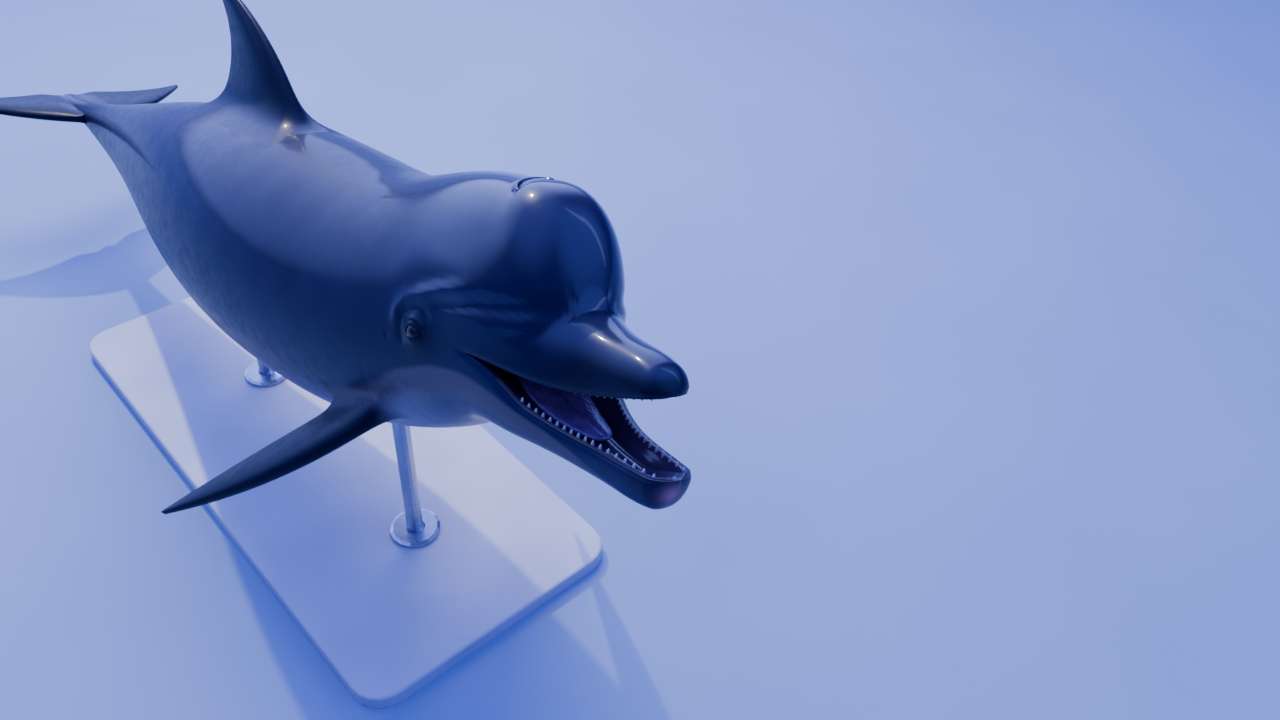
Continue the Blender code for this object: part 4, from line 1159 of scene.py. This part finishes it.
def addFloor():
    deselectAll()
    bpy.ops.mesh.primitive_plane_add(size=floorFinish["size"], location=(0, 0, -0.0005))
    floor = bpy.context.object
    floor.name = "floor"
    bpy.ops.object.transform_apply(location=True, rotation=False, scale=False)
    made, tree = newMaterial("paleFloor")
    cloud = addRange(tree, addNoise(tree, 1.5, 3.0), 0.3, 0.7)
    setSurface(tree, {"Base Color": addMix(tree, cloud, floorFinish["colour"], floorFinish["mottle"]),
                      "Roughness": 0.60, "Specular IOR Level": 0.1})
    giveMaterial(floor, made)


lights = {
    # azimuth and elevation of its place, distance, target, width, height, roll, watts, colour, and
    # whether reflections show it
    "keyPanel": (150, 60, 4.2, (0.5, 0.2, 0.0), 2.4, 2.4, 0, 130, (1.0, 0.95, 0.86), False),
    "glintLamp": (169, 36, 5.0, (0.85, 0.0, 0.9), 0.11, 0.11, 0, 160, (1.0, 0.96, 0.92), True),
    "stripPanel": (68, 36, 3.0, (0.85, 0.0, 0.9), 0.26, 3.6, -34, 6.0, (0.42, 0.56, 1.0), True),
    "fillPanel": (-75, 42, 4.5, (0.5, 0.0, 0.5), 3.0, 3.0, 0, 8, (0.60, 0.74, 1.0), False),
}
# the world is a deep blue dome with four wide glows, which lay the sheens on the wet skin
world = {
    "dome": (0.026, 0.012, 0.300), "zenith": (0.11, 0.12, 0.80),
    # azimuth and elevation of its middle, cosines where it starts and is full, colour
    "glows": [(-148, 62, 0.50, 1.00, (0.42, 0.62, 3.20)), (40, 46, 0.62, 1.00, (0.36, 0.58, 3.40)),
              (-162, 12, 0.88, 1.00, (0.80, 1.10, 3.60)), (158, 14, 0.71, 0.96, (1.35, 1.75, 5.20))],
}


def wayOf(azimuth, height):
    a, e = math.radians(azimuth), math.radians(height)
    return Vector((math.cos(e) * math.cos(a), math.cos(e) * math.sin(a), math.sin(e)))


def addWorld():
    made = bpy.data.worlds.new("studio")
    made.use_nodes = True
    tree = made.node_tree
    way = tree.nodes.new("ShaderNodeTexCoord").outputs["Generated"]

    def towards(direction, low, high):
        dot = tree.nodes.new("ShaderNodeVectorMath")
        dot.operation = "DOT_PRODUCT"
        tree.links.new(way, dot.inputs[0])
        dot.inputs[1].default_value = direction
        share = addRange(tree, dot.outputs["Value"], low, high)
        share.node.interpolation_type = "SMOOTHSTEP"
        return share

    colour = addMix(tree, towards((0, 0, 1), 0.15, 0.95), world["dome"], world["zenith"])
    for azimuth, height, start, full, bright in world["glows"]:
        glow = addMath(tree, "MULTIPLY", towards(wayOf(azimuth, height), start, full),
                       towards((0, 0, 1), -0.02, 0.06))
        colour = addMix(tree, glow, colour, bright)
    tree.links.new(colour, tree.nodes["Background"].inputs["Color"])
    bpy.context.scene.world = made


def addLights():
    for name, (azimuth, height, distance, target, wide, tall, roll, watts, colour, glossy) in lights.items():
        place = Vector(target) + wayOf(azimuth, height) * distance
        deselectAll()
        bpy.ops.object.light_add(type="AREA", location=place)
        lamp = bpy.context.object
        lamp.name = name
        lamp.data.shape, lamp.data.size, lamp.data.size_y = "ELLIPSE", wide, tall
        lamp.data.energy, lamp.data.color = watts, colour
        turned = (place - Vector(target)).to_track_quat("Z", "Y") @ Quaternion((0, 0, 1), math.radians(roll))
        lamp.rotation_euler = turned.to_euler()
        lamp.visible_camera, lamp.visible_glossy = False, glossy


camera = {"place": (1.6123, -0.6392, 1.6645), "azimuth": -44.868, "elevation": 40.548, "roll": 3.644,
          "lens": 29.015}


def addCamera():
    back, roll = wayOf(camera["azimuth"], camera["elevation"]), math.radians(camera["roll"])
    right = (-back).cross(Vector((0, 0, 1))).normalized()
    up = right.cross(-back)
    xAxis = math.cos(roll) * right + math.sin(roll) * up
    yAxis = math.cos(roll) * up - math.sin(roll) * right
    deselectAll()
    bpy.ops.object.camera_add()
    made = bpy.context.object
    made.matrix_world = Matrix.Translation(camera["place"]) @ Matrix((xAxis, yAxis, back)).transposed().to_4x4()
    made.data.sensor_width, made.data.lens = 36.0, camera["lens"]
    made.data.clip_start, made.data.clip_end = 0.02, 100.0
    bpy.context.scene.camera = made


addFloor()
addWorld()
addLights()
addCamera()
print("floor, lights and camera placed")
